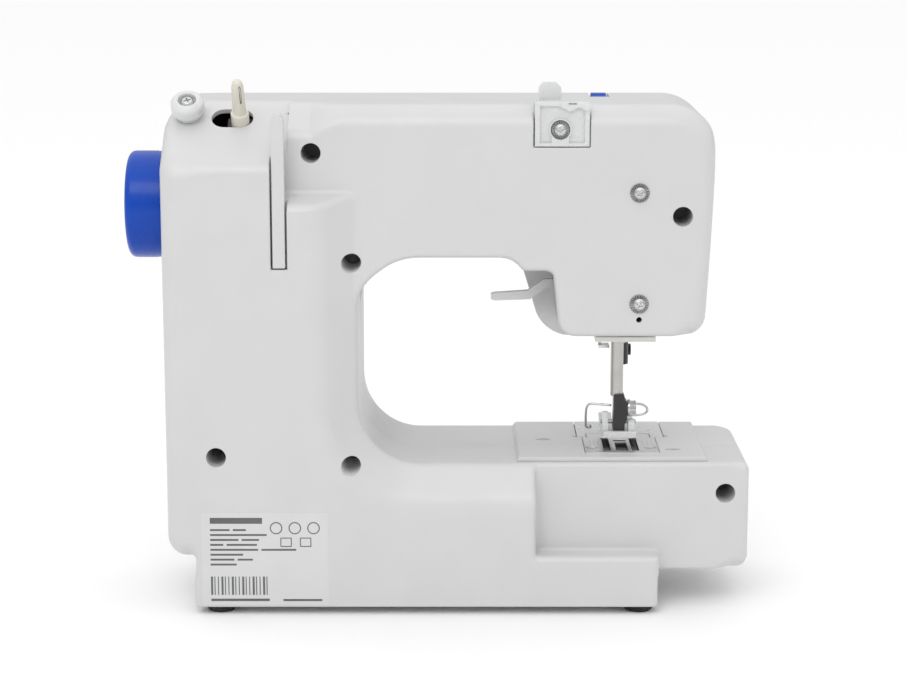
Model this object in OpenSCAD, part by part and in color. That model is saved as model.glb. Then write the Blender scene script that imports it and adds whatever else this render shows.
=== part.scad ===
// Compact two-speed sewing machine with a side handwheel, seen as built from separate pieces.
// +X points to the handwheel, +Y to the rear, +Z up. The origin is under the middle, on the table.

/* [Body] */
// Height of the arm's top above the table
body_top = 234; // [232:0.5:236]
// Height of the arm's underside over the bed
arm_under = 165; // [163:0.5:166]
// Height of the bed's top
bed_top = 69.3; // [68.8:0.1:69.6]
// Front of the arm, tower and bed
front_y = -37; // [-38:0.5:-36]
// Rear of the arm and head
arm_rear_y = 41; // [40.5:0.5:42]
// Rear of the tower and base
tower_rear_y = 53; // [52:0.5:54]
// Outer side of the tower
tower_side_x = 125; // [124.5:0.5:125.2]
// Thickness of the plastic covers
wall = 2.4; // [2:0.1:2.6]

/* [Handwheel] */
// Radius of the handwheel
wheel_r = 24.9; // [23.1:0.2:26.1]
// Outer face of the handwheel
wheel_end_x = 143.9; // [142.4:0.5:145.4]

/* [Needle drive] */
// Travel of the needle bar
needle_stroke = 26; // [24:0.5:26]
// Radius of the needle bar
needle_bar_r = 2.75; // [2.5:0.05:2.9]
// Radius of the presser bar
presser_bar_r = 3; // [2.7:0.05:3.1]

/* [Bobbin winder] */
// Radius of the winder spindle that a bobbin fits over
spindle_r = 3; // [2.8:0.05:3.1]
// Height of the spindle above the slope
spindle_h = 24.5; // [22:0.5:26]

/* [Sockets] */
// Radius of the foot control socket's bore
pedal_bore_r = 1.8; // [1.7:0.05:2]

/* [Hidden] */
$fn = 48;

cover_white = [0.93, 0.93, 0.94];
trim_white = [0.86, 0.87, 0.88];
royal_blue = [0.05, 0.25, 0.75];
ivory = [0.85, 0.83, 0.76];
silver = [0.78, 0.78, 0.8];
steel = [0.6, 0.6, 0.6];
soft_black = [0.1, 0.1, 0.11];

gap = 0.3;                 // room between pieces that move past each other
fit = 0.05;                // radial play of a running fit
far = 300;                 // larger than the machine

// Body outline, as seen from the rear
bed_end_x = -143.9;        // end of the free arm
foot_z = 3.5;              // underside of the base, on top of the rubber feet
base_in_x = 112.3;         // side of the base under the tower's overhang
base_out_x = -102;         // end of the base under the free arm
overhang_z = 26.4;         // underside of the tower's overhang
free_arm_z = 18.2;         // underside of the free arm
step_x = -45;              // where the tall base ends and the free arm's face is set back
ledge_z = 27.5;            // top of the low ledge along the free arm
throat_x = 36.8;           // tower side of the throat
throat_r = 28;             // corner radius of the throat
flare = 17;                // how far the throat widens towards the rear of the tower
front_head_z = 122.8;      // underside of the head, front cover
rear_head_z = 128.6;       // underside of the head, rear cover
// Inner side of the head in X and Z: its top, its foot, and the radii of its two corners
front_head = [[-36.5, arm_under], [-49.2, front_head_z], 12, 12];
rear_head = [[-52.4, 159], [-55.6, rear_head_z], 3.5, 7];
notch_x = -40;             // where the arm's underside ends beside the lifter's notch
notch_r = 12;
head_top_x = -126.5;       // outer side of the head near its top
head_low_x = -122;         // outer side of the head near its bottom
head_r = 27;               // top outer corner of the head
edge_r = 11;               // rounding along the arm's long edges
plan_r = 9;                // rounding of the upright corners
split_y = 7;               // where front and rear covers meet

// Slope on top of the tower that carries the bobbin winder
slope_top_y = 18;
slope_low_z = 207.7;
slope_a = atan((body_top - slope_low_z) / (tower_rear_y - slope_top_y));
pin_x = 71.5;              // spool pin, in its channel beside the slope
channel_w = 7.4;
channel_z = 161.6;
channel_depth = 6;
ramp_low_x = 57.4;         // where the step beside the channel begins to rise
ramp_low_z = 221.6;        // its lower edge at the arm's rear face
ramp_rise = 9.4;           // how far the edge rises along the ramp
ramp_run = 13.5;
ramp_depth = (body_top - ramp_low_z) / tan(slope_a);
// normal of the ramp's plane
ramp_n = cross([-ramp_run, 0, ramp_rise], [0, -ramp_depth, body_top - ramp_low_z]);
shelf_z = 195;             // shelf beside the channel, at the arm's rear face
shelf_drop = 5;            // how much lower its outer edge is

// Shafts
shaft_y = 5;
shaft_z = 185;
shaft_r = 3.5;
upper_bearings = [70, -50];
lower_bearings = [70, -52];
bearing_w = 8;
bush_r = 5.5;
belt_inset = 0.06;
low_shaft_z = 32;
belt_x = 86;               // timing belt plane
belt_w = 6;
pulley_r = 12;
drive_x = 112;             // motor belt plane
drive_w = 7;
drive_r = 20;
motor_y = -15;
motor_z = 95;
motor_r = 17.5;
motor_shaft_r = 1.4;
motor_pulley_r = 6;

// Needle, presser and hook
needle_x = -86;
presser_x = -83.7;
foot_screw_z = 89.6;
foot_pin_z = 83;
stopper_r = 7.6;
stopper_seat = 7.2;
clamp_screw_z = 114.5;
head_plate_z = 122.9;
head_plate_y = split_y + 0.3;
presser_y = 15;
crank_r = needle_stroke / 2;
rod_len = 28;
rod_z = shaft_z + crank_r - rod_len;      // wrist pin height with the needle up
rod_x0 = -78.8;
rod_x1 = -74.8;
hook_y = -14.5;
hook_r = 18.6;
plate_z = 71.2;            // top of the bed panel and the needle plate
ledge_panel_z = 69.7;      // where the needle plate and the bobbin cover rest
lifter_x = -66;
lifter_z = 150;
take_up_y = 8;             // pivot of the take-up lever
take_up_z = 196;
thread_eye = [-41, 221];   // its thread eye at the top of the swing, in Y and Z
dial_y = -20;              // axis of the tension dial
dial_z = 220.6;
dial_r = 14;
tension_r = 1.95;          // post that the dial and the tension discs sit on
dial_x0 = -79;
dial_x1 = -72;

// Cover screws: x, z and how far the rear face stands there
cover_points = [
    [57.4, 212.9], [-110.9, 184], [39.5, 163], [40, 70], [101.5, 74.7], [-133, 54.8]
];
pan_points = [[-91.2, 194.9], [-91.6, 143.9]];
guide_screw = [-55.1, 223.4];
foot_points = [[101, 43.5], [-93, 43.5], [101, -28], [-93, -28]];
plate_screw_points = [[-99.6, 19], [-72.4, 19]];
// Feed rows: x, first y and width
feed_rows = [[-93.7, 0.6, 2.6], [-88.6, 9.6, 4.8], [-80.5, 0.6, 2.6]];
small_hole = [-91.7, 136.5];              // small hole under the lower screw of the head
stopper_point = [113.6, 25.4];            // winder stopper and spindle on the slope, in X and Y
spindle_point = [89.8, 28.5];

// Sockets, lamp and front controls
socket_y = 20;
pedal_z = 46;
power_z = 62;
lamp_point = [-64, -6];
pattern_x = 84;
pattern_z = 150;
light_x = 68;
switch_z = 206;

// Screws and their holes
screw_r = 1.45;            // shank of the cover screws and pan screws
screw_hole_r = 1.7;
screw_well_r = 4.5;        // deep recess of a cover screw

// ---------- helpers ----------

// A prism between y0 and y1 whose outline is drawn in X and Z
module along_y(y0, y1) {
    translate([0, y1, 0]) rotate([90, 0, 0]) linear_extrude(y1 - y0) children();
}
// A prism between x0 and x1 whose outline is drawn in Y and Z
module along_x(x0, x1) {
    translate([x0, 0, 0]) rotate([90, 0, 90]) linear_extrude(x1 - x0) children();
}
module rod_x(x0, x1, y, z, r) {
    translate([x0, y, z]) rotate([0, 90, 0]) cylinder(h = x1 - x0, r = r);
}
module rod_y(y0, y1, x, z, r) {
    translate([x, y1, z]) rotate([90, 0, 0]) cylinder(h = y1 - y0, r = r);
}
module rod_z(z0, z1, x, y, r) {
    translate([x, y, z0]) cylinder(h = z1 - z0, r = r);
}
// A block given by its two opposite corners
module block(a, b) {
    translate(a) cube(b - a);
}
// Rectangle with its four corners rounded alike
module rounded(x0, z0, x1, z1, r) {
    translate([x0 + r, z0]) square([x1 - x0 - 2 * r, z1 - z0]);
    translate([x0, z0 + r]) square([x1 - x0, z1 - z0 - 2 * r]);
    for (x = [x0 + r, x1 - r])
        for (z = [z0 + r, z1 - r])
            translate([x, z]) circle(r);
}
// Takes a sharp corner off: the material lies towards (sx, sz) from the corner at (x, z)
module corner_cut(x, z, r, sx, sz) {
    difference() {
        translate([min(x - sx, x + sx * r), min(z - sz, z + sz * r)]) square(r + 1);
        translate([x + sx * r, z + sz * r]) circle(r);
    }
}
// A smooth curve through the given points, with some steps between each two
function curve_at(p, i, t) =
    let (
        n = len(p) - 1,
        a = p[max(i - 1, 0)], b = p[i], c = p[min(i + 1, n)], d = p[min(i + 2, n)]
    )
    0.5 * (2 * b + (c - a) * t + (2 * a - 5 * b + 4 * c - d) * t * t + (3 * b - a - 3 * c + d) * t * t * t);
function curve(p, steps) = concat(
    [for (i = [0 : len(p) - 2]) for (k = [0 : steps - 1]) curve_at(p, i, k / steps)],
    [p[len(p) - 1]]
);
// A round wire along a smooth curve; its rings are set out from the Y direction
module wire(points, r, sides = 8) {
    path = curve(points, 3);
    n = len(path) - 1;
    rings = [
        for (i = [0 : n])
            let (
                v = path[min(i + 1, n)] - path[max(i - 1, 0)],
                across = cross(v, [0, 1, 0]),
                u = across / norm(across),
                w = cross(u, v) / norm(v)
            )
            for (j = [0 : sides - 1])
                path[i] + r * (u * cos(j * 360 / sides) + w * sin(j * 360 / sides))
    ];
    polyhedron(rings, tube_faces(n, sides));
}
// Faces of a tube with n stretches between its rings, closed at both ends
function tube_faces(n, sides) = concat(
    [[for (j = [0 : sides - 1]) j]],
    [for (i = [0 : n - 1]) for (j = [0 : sides - 1])
        [i * sides + j, (i + 1) * sides + j, (i + 1) * sides + (j + 1) % sides, i * sides + (j + 1) % sides]],
    [[for (j = [sides - 1 : -1 : 0]) n * sides + j]]
);
// Puts a shape on the winder slope: its +Z stands off the slope, its +Y runs down to the rear
module on_slope(x, y) {
    translate([x, y, body_top - (y - slope_top_y) * tan(slope_a)]) rotate([-slope_a, 0, 0]) children();
}
// Pan-head screw standing on z = 0, with a cross slot and a shank below
module pan_screw(head_r, shank_r, shank_l) {
    difference() {
        union() {
            cylinder(h = 1.2, r = head_r);
            translate([0, 0, 1.2]) cylinder(h = 0.9, r1 = head_r, r2 = head_r * 0.7);
            translate([0, 0, -shank_l]) cylinder(h = shank_l, r = shank_r);
        }
        for (a = [0, 90])
            rotate([0, 0, a]) translate([-head_r * 0.55, -0.4, 1]) cube([head_r * 1.1, 0.8, 3]);
    }
}

// ---------- body outline, set in by d ----------

// X of the head's inner side at height z, when the head shrinks by d
function side_x(head, z, d) =
    let (v = head[0] - head[1])
    head[1].x + (z - head[1].y) * v.x / v.y - d * norm(v) / v.y;

// The throat between tower and head, with the space under the head; it grows by d
module throat(d, head) {
    v = head[0] - head[1];
    lean = norm(v) / v.y;
    out = [-v.y, v.x] / norm(v);
    top = head[0].y + d;
    low = head[1].y + d;
    foot_x = side_x(head, low, d);
    // round upper corner beside the head
    r = head[2] + d;
    c = [side_x(head, top - r, d) + r * lean, top - r];
    difference() {
        union() {
            translate(c) circle(r);
            polygon([
                [c.x, top], c + r * out, [foot_x, low], [foot_x, bed_top - d],
                [throat_x + d, bed_top - d], [throat_x + d, top]
            ]);
            difference() {
                translate([notch_x - d, bed_top - d])
                    square([throat_x - notch_x + 2 * d, arm_under - bed_top + 2 * d]);
                corner_cut(notch_x - d, arm_under + d, notch_r + d, 1, -1);
            }
        }
        corner_cut(throat_x + d, bed_top - d, throat_r + d, -1, 1);
        corner_cut(throat_x + d, arm_under + d, throat_r + d, -1, -1);
    }
    translate([-far, bed_top - d]) square([far + foot_x, low - bed_top + d]);
    // round lower corner of the head
    q = head[3] - d;
    m = [side_x(head, low + q, d) - q * lean, low + q];
    difference() {
        polygon([
            m, [m.x, low], [m.x, low - 1], [foot_x + 1, low - 1], m - q * out + [1, 0], m - q * out
        ]);
        translate(m) circle(q);
    }
}

module outline(d, head) {
    head_z = head[1].y;
    difference() {
        translate([bed_end_x + d, d > 0 ? 0 : foot_z])
            square([tower_side_x - bed_end_x - 2 * d, body_top - d - (d > 0 ? 0 : foot_z)]);
        throat(d, head);
        // beyond the head
        polygon([
            [-far, head_z - 1], [head_low_x + d, head_z - 1], [head_low_x + d, head_z + d],
            [head_top_x + d, 206], [head_top_x + d, far], [-far, far]
        ]);
        corner_cut(head_top_x + d, body_top - d, head_r - d, 1, -1);
        corner_cut(head_low_x + d, head_z + d, 9 - d, 1, 1);
        // the tower's top corner and overhang
        corner_cut(tower_side_x - d, body_top - d, 16 - d, -1, -1);
        translate([base_in_x - d, -1]) square([far, overhang_z + d + 1]);
        corner_cut(tower_side_x - d, overhang_z + d, 10 - d, -1, 1);
        // under the free arm
        translate([-far, -1]) square([far + base_out_x + d, free_arm_z + d + 1]);
        corner_cut(bed_end_x + d, free_arm_z + d, 7 - d, 1, 1);
        corner_cut(bed_end_x + d, bed_top - d, 4 - d, 1, -1);
    }
}

// Arm, head, bed and the front of the tower, between two Y planes
module main_body(d, head, y0, y1) {
    intersection() {
        along_y(y0, y1) outline(d, head);
        union() {
            // upright corners of the bed and of the tower with its head
            linear_extrude(80)
                rounded(bed_end_x + d, front_y + d, tower_side_x - d, far / 2, plan_r - d);
            translate([0, 0, 79])
                linear_extrude(far)
                    rounded(head_top_x + d, front_y + d, tower_side_x - d, far / 2, plan_r - d);
        }
        union() {
            block([-far, -far, -1], [far, arm_rear_y - d, 80]);
            along_x(-far, far) rounded(front_y + d, 60, arm_rear_y - d, body_top - d, edge_r - d);
        }
    }
}

// The deeper rear of the tower and base
module rear_bulge(d) {
    difference() {
        along_y(20, tower_rear_y - d)
            intersection() {
                outline(d, rear_head);
                union() {
                    translate([step_x + d, 0]) square([far, bed_top + throat_r]);
                    translate([throat_x - throat_r, 0]) square([far, shelf_z + 12]);
                    translate([pin_x - channel_w / 2 + d, 0]) square([far, far]);
                    translate([base_out_x + d, 0]) square([far, ledge_z - d]);
                }
            }
        throat_flare(d);
        // the shelf beside the spool pin, falling towards the rear
        along_x(-far, pin_x - channel_w / 2 + d)
            polygon([
                [19, shelf_z + shelf_drop * 22 / 12 - d], [61, shelf_z - shelf_drop * 20 / 12 - d],
                [61, far], [19, far]
            ]);
        // rounded upright edge on the handwheel side
        translate([0, 0, -1])
            linear_extrude(far) corner_cut(tower_side_x - d, tower_rear_y - d, 8 - d, -1, -1);
    }
}

// The throat's walls slant outwards across the thickness of the bulge
module throat_flare(d) {
    depth = tower_rear_y - arm_rear_y;
    slant = d * norm([flare, depth]) / depth;
    cx = throat_x - throat_r;
    cz = bed_top + throat_r;
    // each face starts a little inside the arm, so that it runs on from the throat's wall
    back = 2 * d;
    lead = back * flare / depth;
    grow0 = slant - lead;
    grow1 = slant + flare + flare;
    y0 = arm_rear_y - back;
    y1 = tower_rear_y + depth;
    translate([cx, y0, cz]) rotate([-90, 0, 0])
        cylinder(h = y1 - y0, r1 = throat_r + grow0, r2 = throat_r + grow1, $fn = 96);
    along_x(-far, cx)
        polygon([
            [y0, bed_top - grow0], [y1, bed_top - grow1], [y1, cz + throat_r], [y0, cz + throat_r]
        ]);
    translate([0, 0, cz])
        linear_extrude(arm_under + 40 - cz)
            polygon([
                [cx, y0], [throat_x + grow0, y0], [throat_x + grow1, y1], [cx, y1]
            ]);
}

// Everything that is cut off the outside, or kept clear of the inside when grown by d
module body_recesses(d) {
    // winder slope
    lift = d / cos(slope_a);
    run = tan(slope_a);
    along_x(pin_x - channel_w / 2 - d, far)
        polygon([
            [slope_top_y - 30, body_top + 30 * run - lift],
            [tower_rear_y + 20, slope_low_z - 20 * run - lift],
            [tower_rear_y + 20, far], [slope_top_y - 30, far]
        ]);
    // the slope goes on beside the channel, a step higher, and ends in a slanting ramp
    along_x(ramp_low_x, pin_x)
        polygon([
            [arm_rear_y - 60, ramp_low_z + 60 * run - lift], [arm_rear_y + 20, ramp_low_z - 20 * run - lift],
            [arm_rear_y + 20, far], [arm_rear_y - 60, far]
        ]);
    intersection() {
        translate([ramp_low_x, arm_rear_y, ramp_low_z])
            rotate([0, acos(ramp_n.z / norm(ramp_n)), atan2(ramp_n.y, ramp_n.x)])
                translate([-60, -60, -d]) cube([120, 120, 60]);
        block([0, 0, 180], [ramp_low_x, far, far]);
    }
    // spool pin channel
    block([pin_x - channel_w / 2 - d, tower_rear_y - channel_depth - d, channel_z - d],
          [pin_x + channel_w / 2 + d, far, far]);
    // pocket for the thread guide bracket
    block([-68.7 - d, arm_rear_y - 3.5 - d, 215.4 - d], [-43.1 + d, far, far]);
}

module rear_solid(d) {
    difference() {
        union() {
            main_body(d, rear_head, split_y - (d > 0 ? 1 : 0), arm_rear_y - d);
            intersection() {
                rear_bulge(d);
                block([-far, split_y, -1], [far, far, far]);
            }
        }
        body_recesses(d);
    }
}

module front_cavity() {
    main_body(wall, front_head, front_y + wall, split_y - wall);
    intersection() {
        main_body(wall, front_head, split_y - wall - 1, split_y + 1);
        main_body(wall, rear_head, split_y - wall - 1, split_y + 1);
    }
}

// Openings that pass through both covers
module shared_openings() {
    // under the bed panel
    block([-117, front_y + 5, bed_top - 10], [-41, arm_rear_y - 7, bed_top + 5]);
    // under the head, for the bars
    block([-98, -8, front_head_z - 5], [-75.5, 22.5, rear_head_z + 6]);
    // shaft of the handwheel
    rod_x(tower_side_x - 10, tower_side_x + 10, shaft_y, shaft_z, 9);
}

// ---------- covers and fixed pieces ----------

module rear_cover() {
    color(cover_white) difference() {
        union() {
            difference() {
                rear_solid(0);
                rear_solid(wall);
            }
            // screw bosses run from the parting line to the rear wall
            intersection() {
                rear_solid(wall / 2);
                for (p = cover_points) rod_y(split_y, far, p.x, p.y, 6);
            }
        }
        for (p = cover_points) {
            rod_y(14, far, p.x, p.y, screw_well_r);
            rod_y(split_y - 1, far, p.x, p.y, screw_hole_r);
        }
        for (p = pan_points) rod_y(30, far, p.x, p.y, screw_hole_r);
        rod_y(30, far, guide_screw.x, guide_screw.y, screw_hole_r);
        rod_y(30, far, small_hole.x, small_hole.y, 1.3);
        shared_openings();
        // slot that the lifter lever comes out of
        block([-60, 13, 133], [-51, 24, 155.5]);
        on_slope(stopper_point.x, stopper_point.y) translate([0, 0, -6]) cylinder(h = 7, r = 1.5);
        // slot that the winder spindle moves in
        on_slope(93.5, 27) translate([0, 0, -8]) linear_extrude(16) rounded(-9.5, -6, 9.5, 6, 5.9);
        // hole for the spool pin's foot, behind the channel
        block([pin_x - 1.6, tower_rear_y - channel_depth - wall - 1, channel_z + 2],
              [pin_x + 1.6, tower_rear_y - channel_depth + 1, channel_z + 47.5]);
        // sockets on the handwheel side
        jack_holes();
    }
}

module jack_holes() {
    rod_x(tower_side_x - 10, far, socket_y, pedal_z, 3);
    rod_x(tower_side_x - 10, far, socket_y, power_z, 4);
}

module front_cover() {
    color(cover_white) difference() {
        union() {
            difference() {
                main_body(0, front_head, front_y, split_y);
                front_cavity();
            }
            intersection() {
                main_body(wall / 2, front_head, front_y + 1, split_y);
                for (p = cover_points) rod_y(-far, split_y, p.x, p.y, 4.5);
            }
        }
        for (p = cover_points) rod_y(front_y + 6, split_y + 1, p.x, p.y, 1.5);
        intersection() {
            body_recesses(0);
            block([60, -far, 0], [far, split_y + 1, far]);
        }
        shared_openings();
        // tension dial, take-up lever and lamp
        block([dial_x0 - 1, dial_y - dial_r, 214], [dial_x1 + 1, dial_y + dial_r, far]);
        block([-99.2, front_y - 5, 174], [-93, front_y + 10, 227]);
        rod_z(front_head_z - 2, front_head_z + 4, lamp_point.x, lamp_point.y, 4.6);
        // controls on the front face
        rod_y(front_y - 5, front_y + 5, pattern_x, pattern_z, 4.2);
        block([80, front_y - 5, 58], [88, front_y + 5, 84]);
        block([86, front_y - 5, switch_z - 3], [102, front_y + 5, switch_z + 3]);
        rod_y(front_y - 5, front_y + 5, light_x, switch_z, 4.3);
    }
}

module base_plate() {
    inset = wall + 0.2;
    color(trim_white) difference() {
        union() {
            linear_extrude(6)
                difference() {
                    translate([base_out_x + inset, front_y + inset])
                        square([base_in_x - base_out_x - 2 * inset, tower_rear_y - front_y - 2 * inset]);
                    corner_cut(base_in_x - inset, tower_rear_y - inset, 8, -1, -1);
                }
            for (p = foot_points) rod_z(3.5, 8, p.x, p.y, 4);
        }
        block([-far, -far, -1], [far, far, foot_z]);
        for (p = foot_points) rod_z(0, 6.8, p.x, p.y, 1.6);
        // ventilation slots under the motor
        for (i = [0 : 5]) block([52 + 7 * i, -28, 0], [55 + 7 * i, -6, 10]);
    }
}

module rubber_feet() {
    color(soft_black) for (p = foot_points)
        translate([p.x, p.y, 0]) {
            cylinder(h = 0.8, r1 = 5.8, r2 = 6.6);
            translate([0, 0, 0.8]) cylinder(h = foot_z - 0.8, r = 6.6);
            translate([0, 0, foot_z]) cylinder(h = 2.8, r = 1.55);
        }
}

module cover_screws() {
    color(silver) for (p = cover_points)
        translate([p.x, 14, p.y]) rotate([-90, 0, 0]) pan_screw(3.4, screw_r, 24);
}

module pan_screws() {
    color(silver) {
        for (p = pan_points)
            translate([p.x, arm_rear_y, p.y]) rotate([-90, 0, 0]) {
                pan_washer(4.4);
                translate([0, 0, 0.6]) pan_screw(2.9, screw_r, 10);
            }
        translate([guide_screw.x, arm_rear_y - 1.5, guide_screw.y]) rotate([-90, 0, 0]) {
            pan_washer(4.2);
            translate([0, 0, 0.6]) pan_screw(2.9, screw_r, 7);
        }
        on_slope(stopper_point.x, stopper_point.y) translate([0, 0, stopper_seat])
            pan_screw(3.2, screw_r, 12);
    }
}
module pan_washer(r) {
    difference() {
        cylinder(h = 0.6, r = r);
        translate([0, 0, -1]) cylinder(h = 3, r = 1.4);
    }
}

// Inner frame: a rear plate with brackets that carry shafts, bars and the motor
module chassis() {
    color(steel) difference() {
        union() {
            // plate along the arm, down the tower and along the base
            along_y(27, 30) {
                translate([-106, 172]) square([176, 42]);
                translate([60, 172]) square([48, 26]);
                translate([52, 26]) square([56, 150]);
                translate([-64, 26]) square([170, 30]);
                translate([-106, 132]) square([28, 50]);
            }
            // shaft bearings
            for (x = upper_bearings)
                block([x, shaft_y - 8, shaft_z - 8], [x + bearing_w, 29, shaft_z + 8]);
            for (x = lower_bearings)
                block([x, shaft_y - 8, low_shaft_z - 6], [x + bearing_w, 29, low_shaft_z + 10]);
            // upper and lower guides of the needle bar and the presser bar
            block([-92, -0.5, 204], [-79.4, 29, 212]);
            block([-92, -0.5, head_plate_z + 2.4], [-79.4, 21.5, 136]);
            block([-92, 10, 132.5], [-79.4, 29, 137.5]);
            // take-up lever's stud on the head's side plate
            block([-104, take_up_y - 5, take_up_z - 6], [-100.5, 29, take_up_z + 6]);
            rod_x(-101, -93.5, take_up_y, take_up_z, 2.5);
            // lifter lever's stud
            rod_y(10, 29, lifter_x, lifter_z, 2.5);
            block([-80, 27, 144], [-60, 30, 156]);
            // thread tension post
                block([-61, dial_y - 4, 190], [-57, 29, dial_z + 4]);
            // motor cradle
            block([60, motor_y + 12, motor_z - 8], [66, 29, motor_z + 8]);
            // legs on the base plate
            for (x = [56, -60]) block([x, 20, 6], [x + 12, 30, 28]);
            // posts behind the two screws on the head
            for (p = pan_points) rod_y(29, arm_rear_y - wall, p.x, p.y, 4);
        }
        for (p = cover_points) rod_y(0, far, p.x, p.y, 6.6);
        for (p = pan_points) rod_y(28, far, p.x, p.y, screw_r);
        for (x = upper_bearings) rod_x(x - 1, x + bearing_w + 1, shaft_y, shaft_z, bush_r);
        for (x = lower_bearings) rod_x(x - 1, x + bearing_w + 1, shaft_y, low_shaft_z, bush_r);
        rod_z(100, 240, needle_x, shaft_y, needle_bar_r + fit);
        rod_z(100, 240, presser_x, presser_y, presser_bar_r + fit);
        rod_x(40, 100, motor_y, motor_z, motor_r + 0.1);
        rod_x(-70, -55, dial_y, dial_z, tension_r);
    }
}

module shaft_bushes() {
    color([0.72, 0.55, 0.25]) {
        for (x = upper_bearings) bush(x, shaft_z);
        for (x = lower_bearings) bush(x, low_shaft_z);
    }
}
module bush(x, z) {
    difference() {
        rod_x(x, x + bearing_w, shaft_y, z, bush_r);
        rod_x(x - 1, x + bearing_w + 1, shaft_y, z, shaft_r + fit);
    }
}

module plate_opening(grow) {
    // needle plate, then the bobbin cover in front of it
    block([-103.5 - grow, -3, 0], [-68.5 + grow, 28.8 + grow, 90]);
    block([-108 - grow, -40, 0], [-66 + grow, -2.5, 90]);
}

module bed_panel() {
    color(cover_white) difference() {
        union() {
            along_y(front_y + 1.5, arm_rear_y - 3)
                polygon([
                    [-125, bed_top], [-124, plate_z], [-37.5, plate_z], [-36, bed_top]
                ]);
            block([-116.8, front_y + 5.2, bed_top - wall], [-41.2, arm_rear_y - 7.2, bed_top]);
        }
        intersection() {
            plate_opening(0);
            block([-far, -far, ledge_panel_z], [far, far, far]);
        }
        // a rim is left under the plate and the cover
        block([-101.5, -10, 0], [-70.5, 26.8, 90]);
        block([-105, front_y + 8, 0], [-69, -9, 90]);
    }
}

module needle_plate() {
    color(silver) difference() {
        union() {
            block([-103.3, -2.4, ledge_panel_z], [-68.7, 28.6, plate_z]);
            block([-101, -9.8, ledge_panel_z], [-71, -2, plate_z]);
        }
        // slots for the feed dogs
        for (s = feed_rows) block([s[0] - 0.4, s[1] - 1.2, 0], [s[0] + s[2] + 0.4, 24.5, 90]);
        // wide needle slot
        block([-89, 3.6, 0], [-83, 6.4, 90]);
        for (p = plate_screw_points) {
            rod_z(0, 90, p.x, p.y, 1.5);
            rod_z(plate_z - 0.9, 90, p.x, p.y, 2.9);
        }
    }
}

module plate_screws() {
    color(silver) for (p = plate_screw_points)
        translate([p.x, p.y, plate_z - 0.9]) difference() {
            union() {
                cylinder(h = 0.7, r = 2.8);
                translate([0, 0, -0.6]) cylinder(h = 0.6, r = 1.45);
            }
            translate([-2.2, -0.35, 0.3]) cube([4.4, 0.7, 2]);
        }
}

module bobbin_case() {
    color(soft_black) translate([needle_x, hook_y, 0]) difference() {
        union() {
            translate([0, 0, 46]) cylinder(h = 16, r = 15);
            translate([0, 0, 60.8]) cylinder(h = 1.2, r = 17.4);
            // stop that keeps the case from turning with the hook
            translate([-3, -19.8, 60.8]) cube([6, 5, 1.2]);
        }
        translate([0, 0, 47.4]) cylinder(h = 20, r = 11.4);
        translate([0, 0, 40]) cylinder(h = 20, r = 2);
    }
}

module head_bottom_plate() {
    color(cover_white) difference() {
        union() {
            block([-97.9, -7.9, head_plate_z], [-75.6, 24, head_plate_z + 2.4]);
            block([-101, head_plate_y, head_plate_z], [-73, 24, head_plate_z + 2.4]);
        }
        rod_z(100, 140, needle_x, shaft_y, 3.6);
        rod_z(100, 140, presser_x, presser_y, 3.6);
    }
}

module needle_thread_guide() {
    color(silver) {
        block([-81, -6, 115.3], [-75.9, 0, 116.7]);
        block([-77.4, -6, 116.5], [-75.9, -3, head_plate_z]);
    }
}

module thread_guide_bracket() {
    y0 = arm_rear_y - 3.4;
    color(trim_white) difference() {
        union() {
            block([-68.4, y0, 215.7], [-43.4, y0 + 3.2, 232]);
            block([-56, y0, 231], [-43.4, y0 + 3.2, 235]);
            block([-56, y0 - 8, 234], [-43.4, y0 + 3.2, 236]);
            // tab that the thread hooks behind
            along_y(y0 - 8, y0 - 5.5)
                polygon([
                    [-55, 235], [-56, 238], [-55.6, 241.6], [-53.6, 243.5], [-47.4, 243.5],
                    [-45.6, 241.6], [-45.2, 238], [-46.2, 235]
                ]);
            // bar that leads the thread to the tension dial
            along_y(y0, y0 + 3.2)
                polygon([[-55.5, 236], [-60, 236], [-68.4, 233], [-68.4, 230], [-55.5, 230]]);
        }
        translate([guide_screw.x, 60, guide_screw.y]) rotate([90, 0, 0]) cylinder(h = 60, r = 1.55);
        rod_y(y0 + 1.9, far, guide_screw.x, guide_screw.y, 4.6);
    }
}

module winder_stopper() {
    color(trim_white) on_slope(stopper_point.x, stopper_point.y) difference() {
        union() {
            cylinder(h = 3.2, r = 6);
            translate([0, 0, 3.2]) cylinder(h = 5.2, r = stopper_r);
            translate([0, 0, 8.4]) cylinder(h = 1.4, r1 = stopper_r, r2 = stopper_r - 1.6);
        }
        translate([0, 0, -1]) cylinder(h = 20, r = 1.5);
        translate([0, 0, stopper_seat]) cylinder(h = 5, r = 4);
    }
}

module motor() {
    color(silver) {
        rod_x(46, 80, motor_y, motor_z, motor_r);
        difference() {
            rod_x(79.5, 83, motor_y, motor_z, 5);
            rod_x(80.5, 84, motor_y, motor_z, motor_shaft_r + fit);
        }
    }
}

// Loop of a flat belt around two pulleys seen along X, by its tangent points
module belt_loop(a, ra, b, rb) {
    v = b - a;
    turn = acos((ra - rb) / norm(v));
    dir = atan2(v.y, v.x);
    // the straight runs start a little inside the two circles
    sa = ra - belt_inset;
    sb = rb - belt_inset;
    translate(a) circle(ra);
    translate(b) circle(rb);
    polygon([
        a + sa * [cos(dir + turn), sin(dir + turn)], a + sa * [cos(dir - turn), sin(dir - turn)],
        b + sb * [cos(dir - turn), sin(dir - turn)], b + sb * [cos(dir + turn), sin(dir + turn)]
    ]);
}

module drive_belt() {
    top = [shaft_y, shaft_z];
    low = [motor_y, motor_z];
    color(soft_black) along_x(drive_x + 1.5, drive_x + drive_w - 1.5) difference() {
        belt_loop(top, drive_r + 1.2, low, motor_pulley_r + 1.2);
        belt_loop(top, drive_r - 0.6, low, motor_pulley_r - 0.6);
    }
}

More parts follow.
